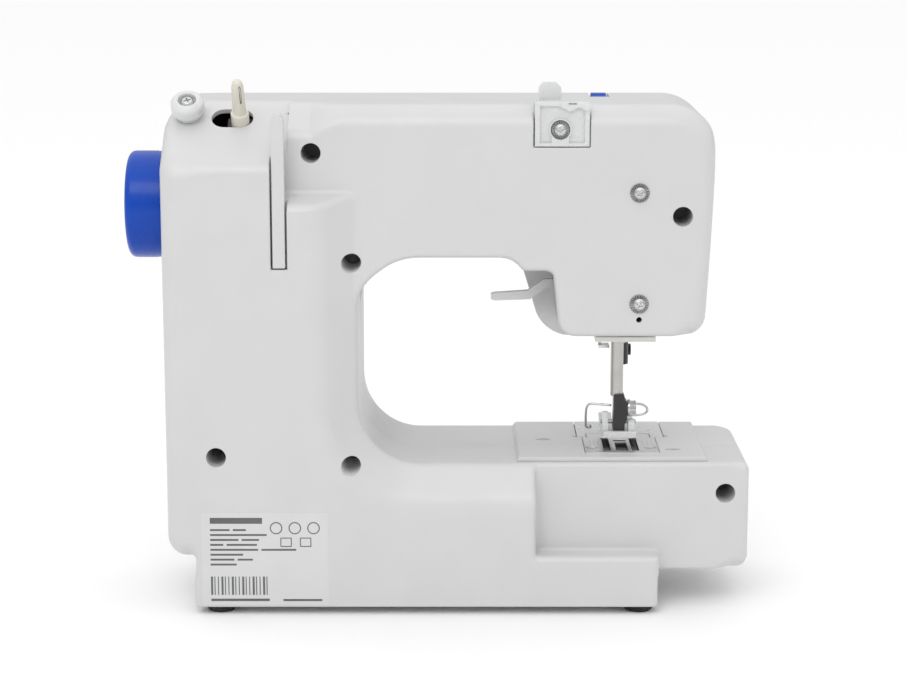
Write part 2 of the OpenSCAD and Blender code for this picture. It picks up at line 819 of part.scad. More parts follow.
module timing_belt() {
    top = [shaft_y, shaft_z];
    low = [shaft_y, low_shaft_z];
    color(soft_black) along_x(belt_x, belt_x + belt_w) difference() {
        belt_loop(top, pulley_r + 1.6, low, pulley_r + 1.6);
        belt_loop(top, pulley_r + fit, low, pulley_r + fit);
    }
}

module circuit_board() {
    color([0.1, 0.4, 0.2]) {
        block([54, 40, 92], [94, 41.6, 142]);
        block([60, 33, 100], [72, 40, 112]);
        for (i = [0 : 2]) rod_y(32, 40, 62 + 12 * i, 128, 4);
    }
}

module dc_jack() {
    color(soft_black) difference() {
        block([110.6, socket_y - 5.5, power_z - 7], [tower_side_x - wall, socket_y + 5.5, power_z + 7]);
        rod_x(113, far, socket_y, power_z, 2.8);
    }
    color(silver) rod_x(113, tower_side_x - 3, socket_y, power_z, 1);
}

module pedal_jack() {
    color(soft_black) difference() {
        block([109.4, socket_y - 5, pedal_z - 5.5], [tower_side_x - wall, socket_y + 5, pedal_z + 5.5]);
        rod_x(110.4, far, socket_y, pedal_z, pedal_bore_r);
    }
}

module lamp() {
    color([1, 0.98, 0.9]) {
        rod_z(front_head_z - 0.6, front_head_z + 6, lamp_point.x, lamp_point.y, 4.5);
        rod_z(front_head_z + 2.6, front_head_z + 8, lamp_point.x, lamp_point.y, 5.5);
    }
}

module rating_label() {
    color([0.9, 0.9, 0.9]) block([50.5, tower_rear_y, 4.7], [109, tower_rear_y + 0.15, 49]);
}

// Coil spring around the presser bar
module presser_spring() {
    turns = 7;
    steps = 12;
    sides = 6;
    z0 = 170.2;
    z1 = 203.8;
    wire_r = 0.45;
    coil_r = presser_bar_r + 1.1;
    n = turns * steps;
    points = [
        for (i = [0 : n]) for (j = [0 : sides - 1])
            let (t = i * 360 / steps, w = j * 360 / sides, r = coil_r + wire_r * cos(w))
                [r * cos(t), r * sin(t), z0 + wire_r + (z1 - z0 - 2 * wire_r) * i / n + wire_r * sin(w)]
    ];
    color(silver) translate([presser_x, presser_y, 0]) polyhedron(points, tube_faces(n, sides));
}

module tension_post() {
    color(silver) {
        rod_x(-79.8, -57, dial_y, dial_z, tension_r);
        for (x = [-69, -66.8]) rod_x(x, x + 0.8, dial_y, dial_z, 8);
        rod_x(-62.4, -61, dial_y, dial_z, 4);
    }
}

// ---------- main shaft ----------

module handwheel() {
    color(royal_blue) difference() {
        union() {
            // rim with a rounded outer edge
            translate([0, shaft_y, shaft_z]) rotate([0, 90, 0]) rotate_extrude($fn = 96)
                difference() {
                    translate([0, tower_side_x + 1]) square([wheel_r, wheel_end_x - tower_side_x - 1]);
                    corner_cut(wheel_r, wheel_end_x, 3, -1, -1);
                }
            rod_x(drive_x - 2, tower_side_x + 2, shaft_y, shaft_z, 8.5);
            // belt pulley inside the tower
            translate([drive_x, shaft_y, shaft_z]) rotate([0, 90, 0]) rotate_extrude($fn = 96)
                polygon([
                    [0, 0], [drive_r + 1.4, 0], [drive_r + 1.4, 1], [drive_r - 0.8, 1.4],
                    [drive_r - 0.8, drive_w - 1.4], [drive_r + 1.4, drive_w - 1],
                    [drive_r + 1.4, drive_w], [0, drive_w]
                ]);
        }
        // dished face and the shaft's bore
        rod_x(wheel_end_x - 2, wheel_end_x + 1, shaft_y, shaft_z, wheel_r - 5);
        rod_x(drive_x - 5, wheel_end_x - 6, shaft_y, shaft_z, shaft_r);
    }
}

module upper_shaft() {
    color(silver) rod_x(-64, wheel_end_x - 7, shaft_y, shaft_z, shaft_r);
}

module upper_timing_pulley() {
    timing_pulley(shaft_z);
}
module timing_pulley(z) {
    color(soft_black) difference() {
        union() {
            rod_x(belt_x - 0.6, belt_x + belt_w + 0.6, shaft_y, z, pulley_r);
            rod_x(belt_x - 1.8, belt_x - 0.6, shaft_y, z, pulley_r + 1.6);
            rod_x(belt_x + belt_w + 0.6, belt_x + belt_w + 1.8, shaft_y, z, pulley_r + 1.6);
        }
        rod_x(belt_x - 5, belt_x + belt_w + 5, shaft_y, z, shaft_r);
        // notches for the belt's teeth
        for (i = [0 : 19])
            translate([belt_x, shaft_y, z]) rotate([i * 18, 0, 0])
                translate([0, -0.7, pulley_r - 0.9]) cube([belt_w, 1.4, 2]);
    }
}

module crank() {
    color(steel) difference() {
        union() {
            rod_x(-68, -62.5, shaft_y, shaft_z, 10);
            // web to the crank pin, and the counterweight on the other side
            block([-68, shaft_y - 5, shaft_z], [-64, shaft_y + 5, shaft_z + crank_r]);
            rod_x(-68, -64, shaft_y, shaft_z + crank_r, 5);
            intersection() {
                rod_x(-68, -62.5, shaft_y, shaft_z, 16);
                block([-70, -20, shaft_z - 20], [-60, 30, shaft_z - 4]);
            }
            rod_x(rod_x1 + gap, -68, shaft_y, shaft_z + crank_r, 2.5);
        }
        rod_x(-64, -60, shaft_y, shaft_z, shaft_r);
    }
}

// ---------- lower shaft, hook and bobbin ----------

module lower_shaft() {
    color(silver) {
        rod_x(-95, 95, shaft_y, low_shaft_z, shaft_r);
        // eccentric that works the feed
        rod_x(-38, -32, shaft_y + 1, low_shaft_z, 7);
    }
}
module lower_timing_pulley() {
    timing_pulley(low_shaft_z);
}
module hook_drive_gear() {
    color(ivory) difference() {
        rod_x(-92, -80, shaft_y, low_shaft_z, 10.2);
        rod_x(-93, -79, shaft_y, low_shaft_z, shaft_r);
    }
}

module rotary_hook() {
    color(steel) translate([needle_x, hook_y, 0]) {
        difference() {
            translate([0, 0, 43.5]) cylinder(h = 16.8, r = hook_r);
            translate([0, 0, 45.6]) cylinder(h = 20, r = 15.4);
            // gap behind the hook's point
            translate([4, 12, 52]) cube([14, 10, 12]);
        }
        translate([0, 0, 25]) cylinder(h = 19, r = 3);
        translate([0, 0, 27]) cylinder(h = 10, r = 9);
    }
}

module bobbin() {
    color([0.85, 0.85, 0.88]) translate([needle_x, hook_y, 48]) difference() {
        union() {
            cylinder(h = 1.1, r = 10.4);
            cylinder(h = 11, r = 4.2);
            translate([0, 0, 9.9]) cylinder(h = 1.1, r = 10.4);
        }
        translate([0, 0, -1]) cylinder(h = 20, r = 3.05);
        for (i = [0 : 5]) rotate([0, 0, 60 * i]) translate([7.3, 0, -1]) cylinder(h = 20, r = 1.2);
    }
}

// Pulley pressed on the end of the motor's shaft, which turns with it
module motor_pulley() {
    color(silver) rod_x(80.8, drive_x + 1, motor_y, motor_z, motor_shaft_r);
    color(trim_white) difference() {
        translate([drive_x, motor_y, motor_z]) rotate([0, 90, 0]) rotate_extrude()
            polygon([
                [0, 0], [motor_pulley_r + 1.8, 0], [motor_pulley_r + 1.8, 1],
                [motor_pulley_r - 0.8, 1.4], [motor_pulley_r - 0.8, drive_w - 1.4],
                [motor_pulley_r + 1.8, drive_w - 1], [motor_pulley_r + 1.8, drive_w], [0, drive_w]
            ]);
        rod_x(drive_x + 2, drive_x + drive_w + 1, motor_y, motor_z, 1.2);
    }
}

// ---------- needle bar ----------

module needle_bar() {
    color(silver) {
        rod_z(115, 231, needle_x, shaft_y, needle_bar_r);
        // collar with the wrist pin
        rod_z(rod_z - 5, rod_z + 5, needle_x, shaft_y, 5.5);
        rod_x(needle_x + 4, rod_x1, shaft_y, rod_z, 2);
    }
}

module needle_clamp() {
    color(silver) difference() {
        union() {
            rod_z(109, 119, needle_x, shaft_y, 3.6);
            block([needle_x - 2.6, shaft_y - 8.5, 110.5], [needle_x + 2.6, shaft_y, 118.5]);
        }
        rod_z(115, 120, needle_x, shaft_y, needle_bar_r);
        rod_z(100, 116, needle_x, shaft_y, 0.8);
        // thread of the clamp screw
        rod_x(needle_x - 10, needle_x - 0.5, shaft_y - 6, clamp_screw_z, 1.5);
    }
}

module needle_clamp_screw() {
    color(soft_black) {
        rod_x(needle_x - 3, needle_x - 1, shaft_y - 6, clamp_screw_z, 1.45);
        rod_x(needle_x - 5.2, needle_x - 2.9, shaft_y - 6, clamp_screw_z, 2.6);
    }
}

module needle() {
    color(silver) {
        rod_z(96, 115, needle_x, shaft_y, 0.8);
        translate([needle_x, shaft_y, 93]) cylinder(h = 3, r1 = 0.45, r2 = 0.8);
        rod_z(84, 93, needle_x, shaft_y, 0.45);
        translate([needle_x, shaft_y, 80]) cylinder(h = 4, r1 = 0.08, r2 = 0.45);
    }
}

module connecting_rod() {
    x0 = rod_x0;
    x1 = rod_x1;
    color(steel) difference() {
        union() {
            rod_x(x0, x1, shaft_y, rod_z, 4.5);
            rod_x(x0, x1, shaft_y, rod_z + rod_len, 5);
            block([x0, shaft_y - 2.6, rod_z], [x1, shaft_y + 2.6, rod_z + rod_len]);
        }
        rod_x(x0 - 1, x1 + 1, shaft_y, rod_z, 2 + fit);
        rod_x(x0 - 1, x1 + 1, shaft_y, rod_z + rod_len, 2.6);
    }
}

module take_up_lever() {
    hub = [take_up_y, take_up_z];
    v = (thread_eye - hub) / norm(thread_eye - hub);
    side = [-v.y, v.x];
    color(silver) difference() {
        union() {
            rod_x(-97.2, -95.4, hub.x, hub.y, 5);
            along_x(-97.2, -95.4)
                polygon([
                    hub + 4 * side, hub - 4 * side, thread_eye - 4 * v - 1.8 * side,
                    thread_eye - 1.8 * side, thread_eye + 1.8 * side, thread_eye - 4 * v + 1.8 * side
                ]);
            rod_x(-97.2, -95.4, thread_eye.x, thread_eye.y, 3);
        }
        rod_x(-110, -80, hub.x, hub.y, 2.5 + fit);
        rod_x(-110, -80, thread_eye.x, thread_eye.y, 1.4);
    }
}

// ---------- presser bar ----------

module presser_bar() {
    color(steel) {
        rod_z(95.6, 214, presser_x, presser_y, presser_bar_r);
        // thin end in the foot holder
        rod_z(90, 96, presser_x, presser_y, 1.5);
        // block that the spring pushes on, with the lug that the lifter raises
        block([-89.5, 11.3, 161], [-79.8, 19.5, 170]);
        // it reaches the lifter behind the connecting rod
        block([-87, 15, lifter_z + 10.4], [-82, 26.6, lifter_z + 15]);
        block([-87, 23.6, lifter_z + 10.4], [lifter_x - 0.5, 26.6, lifter_z + 15]);
        block([lifter_x - 4.5, 15.5, lifter_z + 10.4], [lifter_x - 0.5, 26.6, lifter_z + 15]);
    }
}

module foot_holder() {
    color(soft_black) difference() {
        union() {
            block([-88.6, 10.8, 84], [-81.9, 19, 93.7]);
            block([-87.4, 10.8, 93], [-82.3, 19, 96.8]);
            block([-87.4, 11.4, 79.4], [-81.9, 18.4, 84.2]);
        }
        rod_z(95.6, 100, presser_x, presser_y, presser_bar_r);
        rod_z(90, 96, presser_x, presser_y, 1.5);
        rod_x(-91, -87, presser_y, foot_screw_z, 1.5);
        // the foot's pin snaps in here
        rod_x(-95, -75, presser_y, foot_pin_z, 1.15);
        block([-95, presser_y - 0.9, 78], [-75, presser_y + 0.9, foot_pin_z]);
    }
}

module foot_screw() {
    color(silver) {
        rod_x(-90, -87.4, presser_y, foot_screw_z, 1.45);
        rod_x(-90.1, -88.9, presser_y, foot_screw_z, 4);
        rod_x(-92.8, -90, presser_y, foot_screw_z, 3.4);
    }
}

// Wire that keeps fingers away from the needle
module finger_guard() {
    color(silver) {
        wire([
            [-81.8, 14, 90.6], [-74, 13.6, 91], [-71, 13, 90.7], [-69.7, 12.4, 88.9], [-69.6, 9.5, 83],
            [-69.9, 6, 78.6], [-71.8, 5, 77.7]
        ], 0.6);
        wire([
            [-88, 10.65, 90.2], [-88.9, 9.4, 90.3], [-93, 9.2, 90.2], [-97.6, 9, 89.4], [-98.8, 8.9, 87.2],
            [-97.2, 8.8, 85.2], [-92.5, 9, 84.5], [-88.9, 9.4, 84.9], [-88, 10.65, 85.2]
        ], 0.6);
    }
}

module presser_foot() {
    z0 = 76.5;
    color(trim_white) difference() {
        union() {
            block([-93, -6, z0], [-77, 22, z0 + 1.8]);
            // toes turn up at the front
            along_x(-93, -77)
                polygon([[-13, z0 + 3.4], [-12.4, z0 + 4.8], [-5, z0 + 1.8], [-5, z0]]);
            // cheeks that hold the pin, one with a finger tab
            block([-92.2, 11.6, z0 + 1.5], [-89.2, 18.4, z0 + 8]);
            block([-79.6, 11.6, z0 + 1.5], [-77, 18.4, z0 + 8]);
            block([-79.6, 13.4, z0 + 7.8], [-77, 17.2, z0 + 11.5]);
            rod_x(-91.5, -78, presser_y, foot_pin_z, 1.05);
        }
        // opening between the toes
        block([-89, -20, z0 - 1], [-83, 8, z0 + 8]);
    }
}

module lifter_lever() {
    x = lifter_x;
    z = lifter_z;
    color(cover_white) difference() {
        union() {
            rod_y(15.2, 19, x, z, 4);
            rod_y(15.2, 19, x, z + 8.5, 1.5);
            along_y(15.2, 19) {
                polygon([[x - 3.9, z], [x - 1.5, z + 8.5], [x + 1.5, z + 8.5], [x + 3.9, z]]);
                // arm through the slot, then the bent finger piece
                polygon([
                    [x, z + 3.6], [-54, 151.6], [-49, 151.6], [-41.4, 146.2], [-26, 145.2],
                    [-24.4, 144.6], [-24.4, 142.2], [-26, 141.6], [-42.6, 142.2], [-50, 147.8],
                    [-55, 147.6], [x, z - 3.6]
                ]);
            }
        }
        rod_y(10, 30, x, z, 2.5 + fit);
    }
}

module spool_pin() {
    half = 2.85;
    y1 = tower_rear_y - 0.2;
    color(cover_white) {
        block([pin_x - half, y1 - 5.2, channel_z + 0.6], [pin_x + half, y1, 226]);
        along_y(y1 - 5.2, y1)
            polygon([
                [pin_x - half, 225.9], [pin_x + half, 225.9], [pin_x + half, 229],
                [pin_x + 1.6, 231.5], [pin_x - 1.6, 231.5], [pin_x - half, 229]
            ]);
        // foot that runs in the slot behind the channel
        block([pin_x - 1.3, y1 - 10.4, channel_z + 3], [pin_x + 1.3, y1 - 5, channel_z + 12]);
    }
}

// ---------- bobbin winder ----------

module winder_arm() {
    color(soft_black) on_slope(spindle_point.x, spindle_point.y) difference() {
        union() {
            translate([-14, -5, -5.6]) cube([20, 10, 2.4]);
            translate([0, 0, -9]) cylinder(h = 6, r = 4.6);
        }
        translate([0, 0, -20]) cylinder(h = 30, r = 2 + fit);
    }
}

module winder_spindle() {
    color(ivory) on_slope(spindle_point.x, spindle_point.y) difference() {
        union() {
            translate([0, 0, -15]) cylinder(h = 16, r = 2);
            translate([0, 0, -2.6]) cylinder(h = 8, r = 4.1);
            translate([0, 0, 5.4]) cylinder(h = spindle_h - 8.4, r = spindle_r);
            translate([0, 0, spindle_h - 3]) cylinder(h = 3, r1 = spindle_r, r2 = spindle_r - 0.7);
        }
        // slit of the spring that grips the bobbin
        translate([0.9, -4, 16.5]) cube([0.8, 8, 5.5]);
    }
}

module winder_wheel() {
    color(soft_black) on_slope(spindle_point.x, spindle_point.y) difference() {
        translate([0, 0, -14]) cylinder(h = 4.4, r = 9.5);
        translate([0, 0, -20]) cylinder(h = 30, r = 2);
    }
}

// ---------- controls ----------

module tension_dial() {
    color(royal_blue) difference() {
        rod_x(dial_x0, dial_x1, dial_y, dial_z, dial_r);
        rod_x(dial_x0 - 1, dial_x1 + 1, dial_y, dial_z, tension_r + fit);
        // grip flutes
        for (i = [0 : 23])
            translate([0, dial_y, dial_z]) rotate([i * 15, 0, 0])
                rod_x(dial_x0 - 1, dial_x1 + 1, 0, dial_r + 0.6, 1.1);
    }
}

module pattern_dial() {
    color(royal_blue) difference() {
        union() {
            rod_y(front_y - 12, front_y - 0.4, pattern_x, pattern_z, 21);
            rod_y(front_y - 16.15, front_y - 12, pattern_x, pattern_z, 17);
            rod_y(front_y - 0.5, front_y + 9, pattern_x, pattern_z, 4);
        }
        for (i = [0 : 29])
            translate([pattern_x, 0, pattern_z]) rotate([0, i * 12, 0])
                rod_y(front_y - 13, front_y - 3, 0, 21.4, 0.9);
    }
}

module reverse_lever() {
    y = front_y;
    color(royal_blue) {
        block([81, y - 0.4, 73.5], [87, y + 9, 78]);
        block([77, y - 9, 70.5], [91, y - 0.4, 80]);
    }
}

module bobbin_cover() {
    color([0.8, 0.84, 0.88, 0.7]) difference() {
        block([-107.6, front_y + 1.5, ledge_panel_z + 0.1], [-66.4, -2.9, plate_z]);
        block([-101.4, -10.2, 60], [-70.6, 0, 90]);
        rod_z(ledge_panel_z + 0.8, 90, -87, front_y + 8, 5);
    }
}

module feed_bar() {
    color(steel) {
        block([-100, 11, 51], [-28, 19, 55]);
        for (x = [-96, -80]) block([x, 12, 54], [x + 5, 18, 62.2]);
    }
}

module feed_dogs() {
    color(steel) {
        block([-95, 11, 62.5], [-77, 23, 66]);
        for (s = feed_rows) {
            block([s[0], s[1], 65], [s[0] + s[2], 23, 70]);
            for (y = [s[1] : 2.2 : 21])
                along_x(s[0], s[0] + s[2]) polygon([[y, 69.9], [y + 1.8, 69.9], [y + 1.2, 70.8]]);
        }
    }
}

module power_switch() {
    y = front_y;
    color(soft_black) {
        block([86.3, y + 0.4, switch_z - 2.7], [93.3, y + 4.6, switch_z + 2.7]);
        block([88, y - 2.4, switch_z - 2], [91.5, y + 0.5, switch_z + 2]);
    }
}

module light_button() {
    color(royal_blue) rod_y(front_y - 2.6, front_y + 5, light_x, switch_z, 4);
}

rear_cover();
front_cover();
base_plate();
rubber_feet();
cover_screws();
pan_screws();
chassis();
shaft_bushes();
bed_panel();
needle_plate();
plate_screws();
bobbin_case();
head_bottom_plate();
needle_thread_guide();
thread_guide_bracket();
winder_stopper();
motor();
drive_belt();
timing_belt();
circuit_board();
dc_jack();
pedal_jack();
lamp();
rating_label();
presser_spring();
tension_post();
handwheel();
upper_shaft();
upper_timing_pulley();
crank();
lower_shaft();
lower_timing_pulley();
hook_drive_gear();
rotary_hook();
bobbin();
motor_pulley();
needle_bar();
needle_clamp();
needle_clamp_screw();
needle();
connecting_rod();
take_up_lever();
presser_bar();
foot_holder();
foot_screw();
finger_guard();
presser_foot();
lifter_lever();
spool_pin();
winder_arm();
winder_spindle();
winder_wheel();
tension_dial();
pattern_dial();
reverse_lever();
bobbin_cover();
feed_bar();
feed_dogs();
power_switch();
light_button();
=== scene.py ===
"""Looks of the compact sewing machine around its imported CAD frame.

Lengths in the shape code are millimetres, +X is the handwheel's side and +Y the rear.
"""

import math

import bmesh
import bpy
import numpy as np
from mathutils import Matrix, Vector


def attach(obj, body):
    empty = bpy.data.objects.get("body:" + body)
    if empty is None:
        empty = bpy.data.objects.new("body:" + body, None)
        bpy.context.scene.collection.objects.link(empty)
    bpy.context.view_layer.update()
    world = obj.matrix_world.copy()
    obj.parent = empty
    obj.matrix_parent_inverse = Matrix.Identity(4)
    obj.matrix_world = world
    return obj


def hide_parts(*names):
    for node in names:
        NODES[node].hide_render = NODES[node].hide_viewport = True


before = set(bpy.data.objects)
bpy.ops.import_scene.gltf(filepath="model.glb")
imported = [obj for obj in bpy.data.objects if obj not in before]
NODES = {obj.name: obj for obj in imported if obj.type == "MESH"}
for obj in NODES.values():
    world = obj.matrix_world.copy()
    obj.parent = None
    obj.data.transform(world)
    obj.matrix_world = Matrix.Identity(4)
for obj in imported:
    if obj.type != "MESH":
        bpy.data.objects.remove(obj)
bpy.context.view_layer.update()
MM = 0.001

# --- sizes shared with the CAD ---

TOP, ARM_Z, BED_Z, FOOT_Z = 234.0, 165.0, 69.3, 3.5
FRONT_Y, REAR_Y, DEEP_Y, SPLIT_Y = -37.0, 41.0, 53.0, 7.0
DEEPER = DEEP_Y - REAR_Y
SIDE_X, END_X, THROAT_X, THROAT_R = 125.0, -143.9, 36.8, 28.0
WALL = 2.4
# The tower's deeper rear: its slanted edge's width, its end, and the low ledge under the arm
FLARE, DEEP_X = 17.0, -45.0
LEDGE_X, LEDGE_Z = -102.0, 27.5
# Undercuts of the base, under the free arm and at the handwheel's side
UNDER_ARM_Z, OVERHANG_X, OVERHANG_Z = 18.2, 112.3, 26.4
# Winder slope
SLOPE_Y, SLOPE_LOW = 18.0, 207.7
SLOPE = (TOP - SLOPE_LOW) / (DEEP_Y - SLOPE_Y)
SLOPE_A = math.atan(SLOPE)
# Step beside the slope, and the slanted ramp at its end
STEP_X, RAMP_X, RAMP_Z = 67.8, 57.4, 221.6
RAMP_N = np.array([155.1, 167.4, 222.8])
RAMP_N = RAMP_N / np.linalg.norm(RAMP_N)
# Spool pin and its channel; the shelf over the tower's rear falls towards +Y
PIN_X, CHANNEL_W, CHANNEL_Z, CHANNEL_D = 71.5, 7.4, 161.6, 6.0
SHELF_Z, SHELF_FALL = 195.0, 5 / 12
# Head: its outer end leans from its foot up; its upper corner is rounded beyond ARCH_X
HEAD_X, HEAD_R, ARCH_X = -127.3, 22, -40
LEAN_X, LEAN_Z, LEAN, LEAN_COS = -122, 128.6, 0.0581, 0.998
# Inner side of the head in X and Z: its top, its foot, and the radii of its two corners
FRONT_HEAD = (-36.5, ARM_Z, -49.2, 122.8, 12.0, 12.0)
REAR_HEAD = (-52.4, 159.0, -55.6, 128.6, 3.5, 7.0)
NOTCH_X, NOTCH_R = -40.0, 12.0
# Places in X and Z, or in X and Y on the winder slope
SHAFT_Y, SHAFT_Z = 5.0, 185.0
WHEEL_R, WHEEL_X = 24.9, 143.9
DIAL_Y, DIAL_R, DIAL_X = -20.0, 14.0, (-79.0, -72.0)
STOPPER, STOPPER_R, STOPPER_SEAT, SPINDLE = (113.6, 25.4), 7.6, 7.2, (89.8, 28.5)
COVER_SCREWS = [(57.4, 212.9), (-110.9, 184), (39.5, 163), (40, 70), (101.5, 74.7), (-133, 54.8)]
COVER_SCREW_R, COVER_SCREW_Y = 4.5, 16.2
PAN_SCREWS = [(-91.2, 194.9), (-91.6, 143.9)]
GUIDE_SCREW = (-55.1, 223.4)
GUIDE_POCKET = (-55.9, 12.8, 3.5, 215.4)  # middle, half width, depth, foot
PATTERN_DIAL, LIGHT_BUTTON = (84, 150), (68, 206)
SOCKETS = [(20, 46, 3), (20, 62, 4)]  # Y, Z and radius
# Presser bar in X and Y, lifter's axis in X and Z, and heights at the foot
PRESSER, BAR_LOW, LIFTER = (-83.7, 15.0), 95.6, (-66.0, 150.0)
FOOT_SCREW_Z, FOOT_PIN_Z, CLAMP_SCREW_Z = 89.6, 83.0, 114.5
PLATE_Z = 71.2


# --- the covers as distances to their surface ---


def rmax(a, b, r):
    """Both at once: the edge where the two surfaces meet is rounded with radius r."""
    return np.minimum(-r, np.maximum(a, b)) + np.hypot(np.maximum(r + a, 0), np.maximum(r + b, 0))


def rmin(a, b, r):
    """Either one: the inner corner between the two is filled with radius r."""
    return -rmax(-a, -b, r)


def ease(v, low, high):
    t = np.clip((v - low) / (high - low), 0, 1)
    return t * t * (3 - 2 * t)


def under_head(x, z, head):
    """The space between tower and head and below the head, before the tower's side is set."""
    top_x, top_z, foot_x, foot_z, top_r, foot_r = head
    run = (top_x - foot_x) / (top_z - foot_z)
    side = (foot_x + (z - foot_z) * run - x) / math.hypot(1, run)
    space = rmax(side, z - top_z, top_r)
    if top_z < ARM_Z:
        space = rmin(space, rmax(NOTCH_X - x, z - ARM_Z, NOTCH_R), 1.0)
    return rmin(space, z - foot_z, foot_r)


def body(x, y, z, head, deep, floor):
    """Distance to the outside; deep adds the tower's rear. The eases change the edges' radii."""
    upper = under_head(x, z, head)
    throat = rmax(rmax(upper, x - THROAT_X, THROAT_R), BED_Z - z, THROAT_R)
    lean = (LEAN_X - (z - LEAN_Z) * LEAN - x) * LEAN_COS
    end = rmax(lean, HEAD_X - x, 4)
    over_head = x < ARCH_X
    side = np.where(z < 98, END_X - x, np.where(over_head, rmax(end, z - TOP, HEAD_R), end))
    rear = y - REAR_Y
    if deep:
        slant = FLARE * (y - REAR_Y) / DEEPER - throat_side(x, z)
        slant = slant * DEEPER / math.hypot(FLARE, DEEPER)
        step = rmax(DEEP_X - x, slant, 2.2)
        ledge = rmax(LEDGE_X - x, z - LEDGE_Z, 1.5)
        region = rmin(step, ledge, 1.0)
        shelf = (z - SHELF_Z + (y - REAR_Y) * SHELF_FALL) / math.hypot(1, SHELF_FALL)
        region = rmax(region, np.minimum(shelf, PIN_X - x), 3.0)
        rear = rmin(rear, rmax(region, y - DEEP_Y, 3.0), 1.6)
    crown = ease(z, 196, TOP - 11) * over_head
    plan = rmax(side, FRONT_Y - y, 9 + 2 * crown)
    plan = rmax(plan, x - SIDE_X, 9)
    outer = ease(x, 98, 112)
    edge = 2.5 + 5.5 * outer + 3.5 * ease(-x, 108, 120) * ease(z, 98, 110)
    plan = rmax(plan, rear, edge + (11 - edge) * crown)
    solid = np.where(over_head, plan, rmax(plan, z - TOP, 11 + 3 * ease(x, 100, 118)))
    corner = 2.2 + 6.8 * ease(-x, 106, 117) * ease(z, 98, 105)
    corner = corner + 1.8 * ease(-x, 134, 141) * ease(-z, -98, -90)
    solid = rmax(solid, -throat, corner)
    solid = rmax(solid, floor - z, 1.0)
    under_arm = rmax(x - LEDGE_X, z - UNDER_ARM_Z, 1.5)
    solid = rmax(solid, -under_arm, 1.5 + 5.5 * ease(-x, 128, 137))
    overhang = rmax(OVERHANG_X - x, z - OVERHANG_Z, 1.5)
    return rmax(solid, -overhang, 1.5 + 8.5 * ease(z, 14, 24) * ease(x, 108, 115))


def throat_side(x, z):
    """How far a point lies behind the wall of the throat, on the tower's or the bed's side."""
    cx, cz = THROAT_X - THROAT_R, BED_Z + THROAT_R
    u, v = x - cx, cz - z
    inside = np.hypot(np.maximum(u, 0), np.maximum(v, 0)) - THROAT_R
    return np.where((u <= 0) & (v <= 0), -THROAT_R, inside)


def slope_cut(x, y, z):
    """Distance above the winder slope and above the step with its ramp beside the channel."""
    slope = (z - TOP + (y - SLOPE_Y) * SLOPE) * math.cos(SLOPE_A)
    step = (z - RAMP_Z + (y - REAR_Y) * SLOPE) * math.cos(SLOPE_A)
    ramp = (x - RAMP_X) * RAMP_N[0] + (y - REAR_Y) * RAMP_N[1] + (z - RAMP_Z) * RAMP_N[2]
    return np.where(x > STEP_X, slope, np.minimum(step, ramp))


def rear_shape(x, y, z, floor=FOOT_Z, d=0.0):
    """The rear cover's outside, moved inwards by d."""
    f = body(x, y, z, REAR_HEAD, True, floor)
    cap = slope_cut(x, y, z)
    f = rmax(f, cap, 3.0 + 3.5 * ease(x, 100, 118)) + d
    channel = np.maximum(np.abs(x - PIN_X) - CHANNEL_W / 2, DEEP_Y - CHANNEL_D - y)
    f = rmax(f, d - np.maximum(channel, CHANNEL_Z - z), 0.5)
    middle, half, deep, low = GUIDE_POCKET
    pocket = np.maximum(np.abs(x - middle) - half, REAR_Y - deep - y)
    return rmax(f, d - np.maximum(pocket, low - z), 0.45)


SEAM, SEAM_R = 0.06, 0.3  # half of the line between the covers, and the radius of its edges


def rear_outside(x, y, z):
    return rmax(rear_shape(x, y, z), SPLIT_Y + SEAM - y, SEAM_R)


def front_outside(x, y, z):
    front = body(x, y, z, FRONT_HEAD, False, FOOT_Z)
    return rmax(front, y - SPLIT_Y + SEAM, SEAM_R)


INNER_FLOOR = -20.0  # the covers are open below
LAP = 4.0  # the rear cover's hollow starts this far ahead of the seam


def bosses(x, z, r):
    """Distance to the screw bosses, which stay solid in the hollows."""
    return np.minimum.reduce([np.hypot(x - px, z - pz) for px, pz in COVER_SCREWS]) - r


def rear_hollow(x, y, z):
    f = np.maximum(rear_shape(x, y, z, floor=INNER_FLOOR, d=WALL), SPLIT_Y - LAP - y)
    return np.maximum(f, -bosses(x, z, 6.0))


def front_hollow(x, y, z):
    inner = body(x, y, z, FRONT_HEAD, False, INNER_FLOOR) + WALL
    behind = np.maximum(inner, body(x, y, z, REAR_HEAD, False, INNER_FLOOR) + WALL)
    f = np.minimum(np.maximum(inner, y - SPLIT_Y + WALL), np.maximum(behind, y - SPLIT_Y - LAP))
    return np.maximum(f, -bosses(x, z, 4.5))


# --- turning a distance into a mesh ---


def lines(low, high, coarse, fine):
    """Grid lines from low to high; fine holds (from, to, spacing) stretches."""
    at, out = low, [low]
    spans = sorted(fine)
    while at < high:
        step = coarse
        for a, b, s in spans:
            if a - 1e-6 <= at < b - 1e-6:
                step = min(step, s)
            elif at < a < at + step:
                step = a - at
        at += step
        out.append(at)
    return np.array(out)


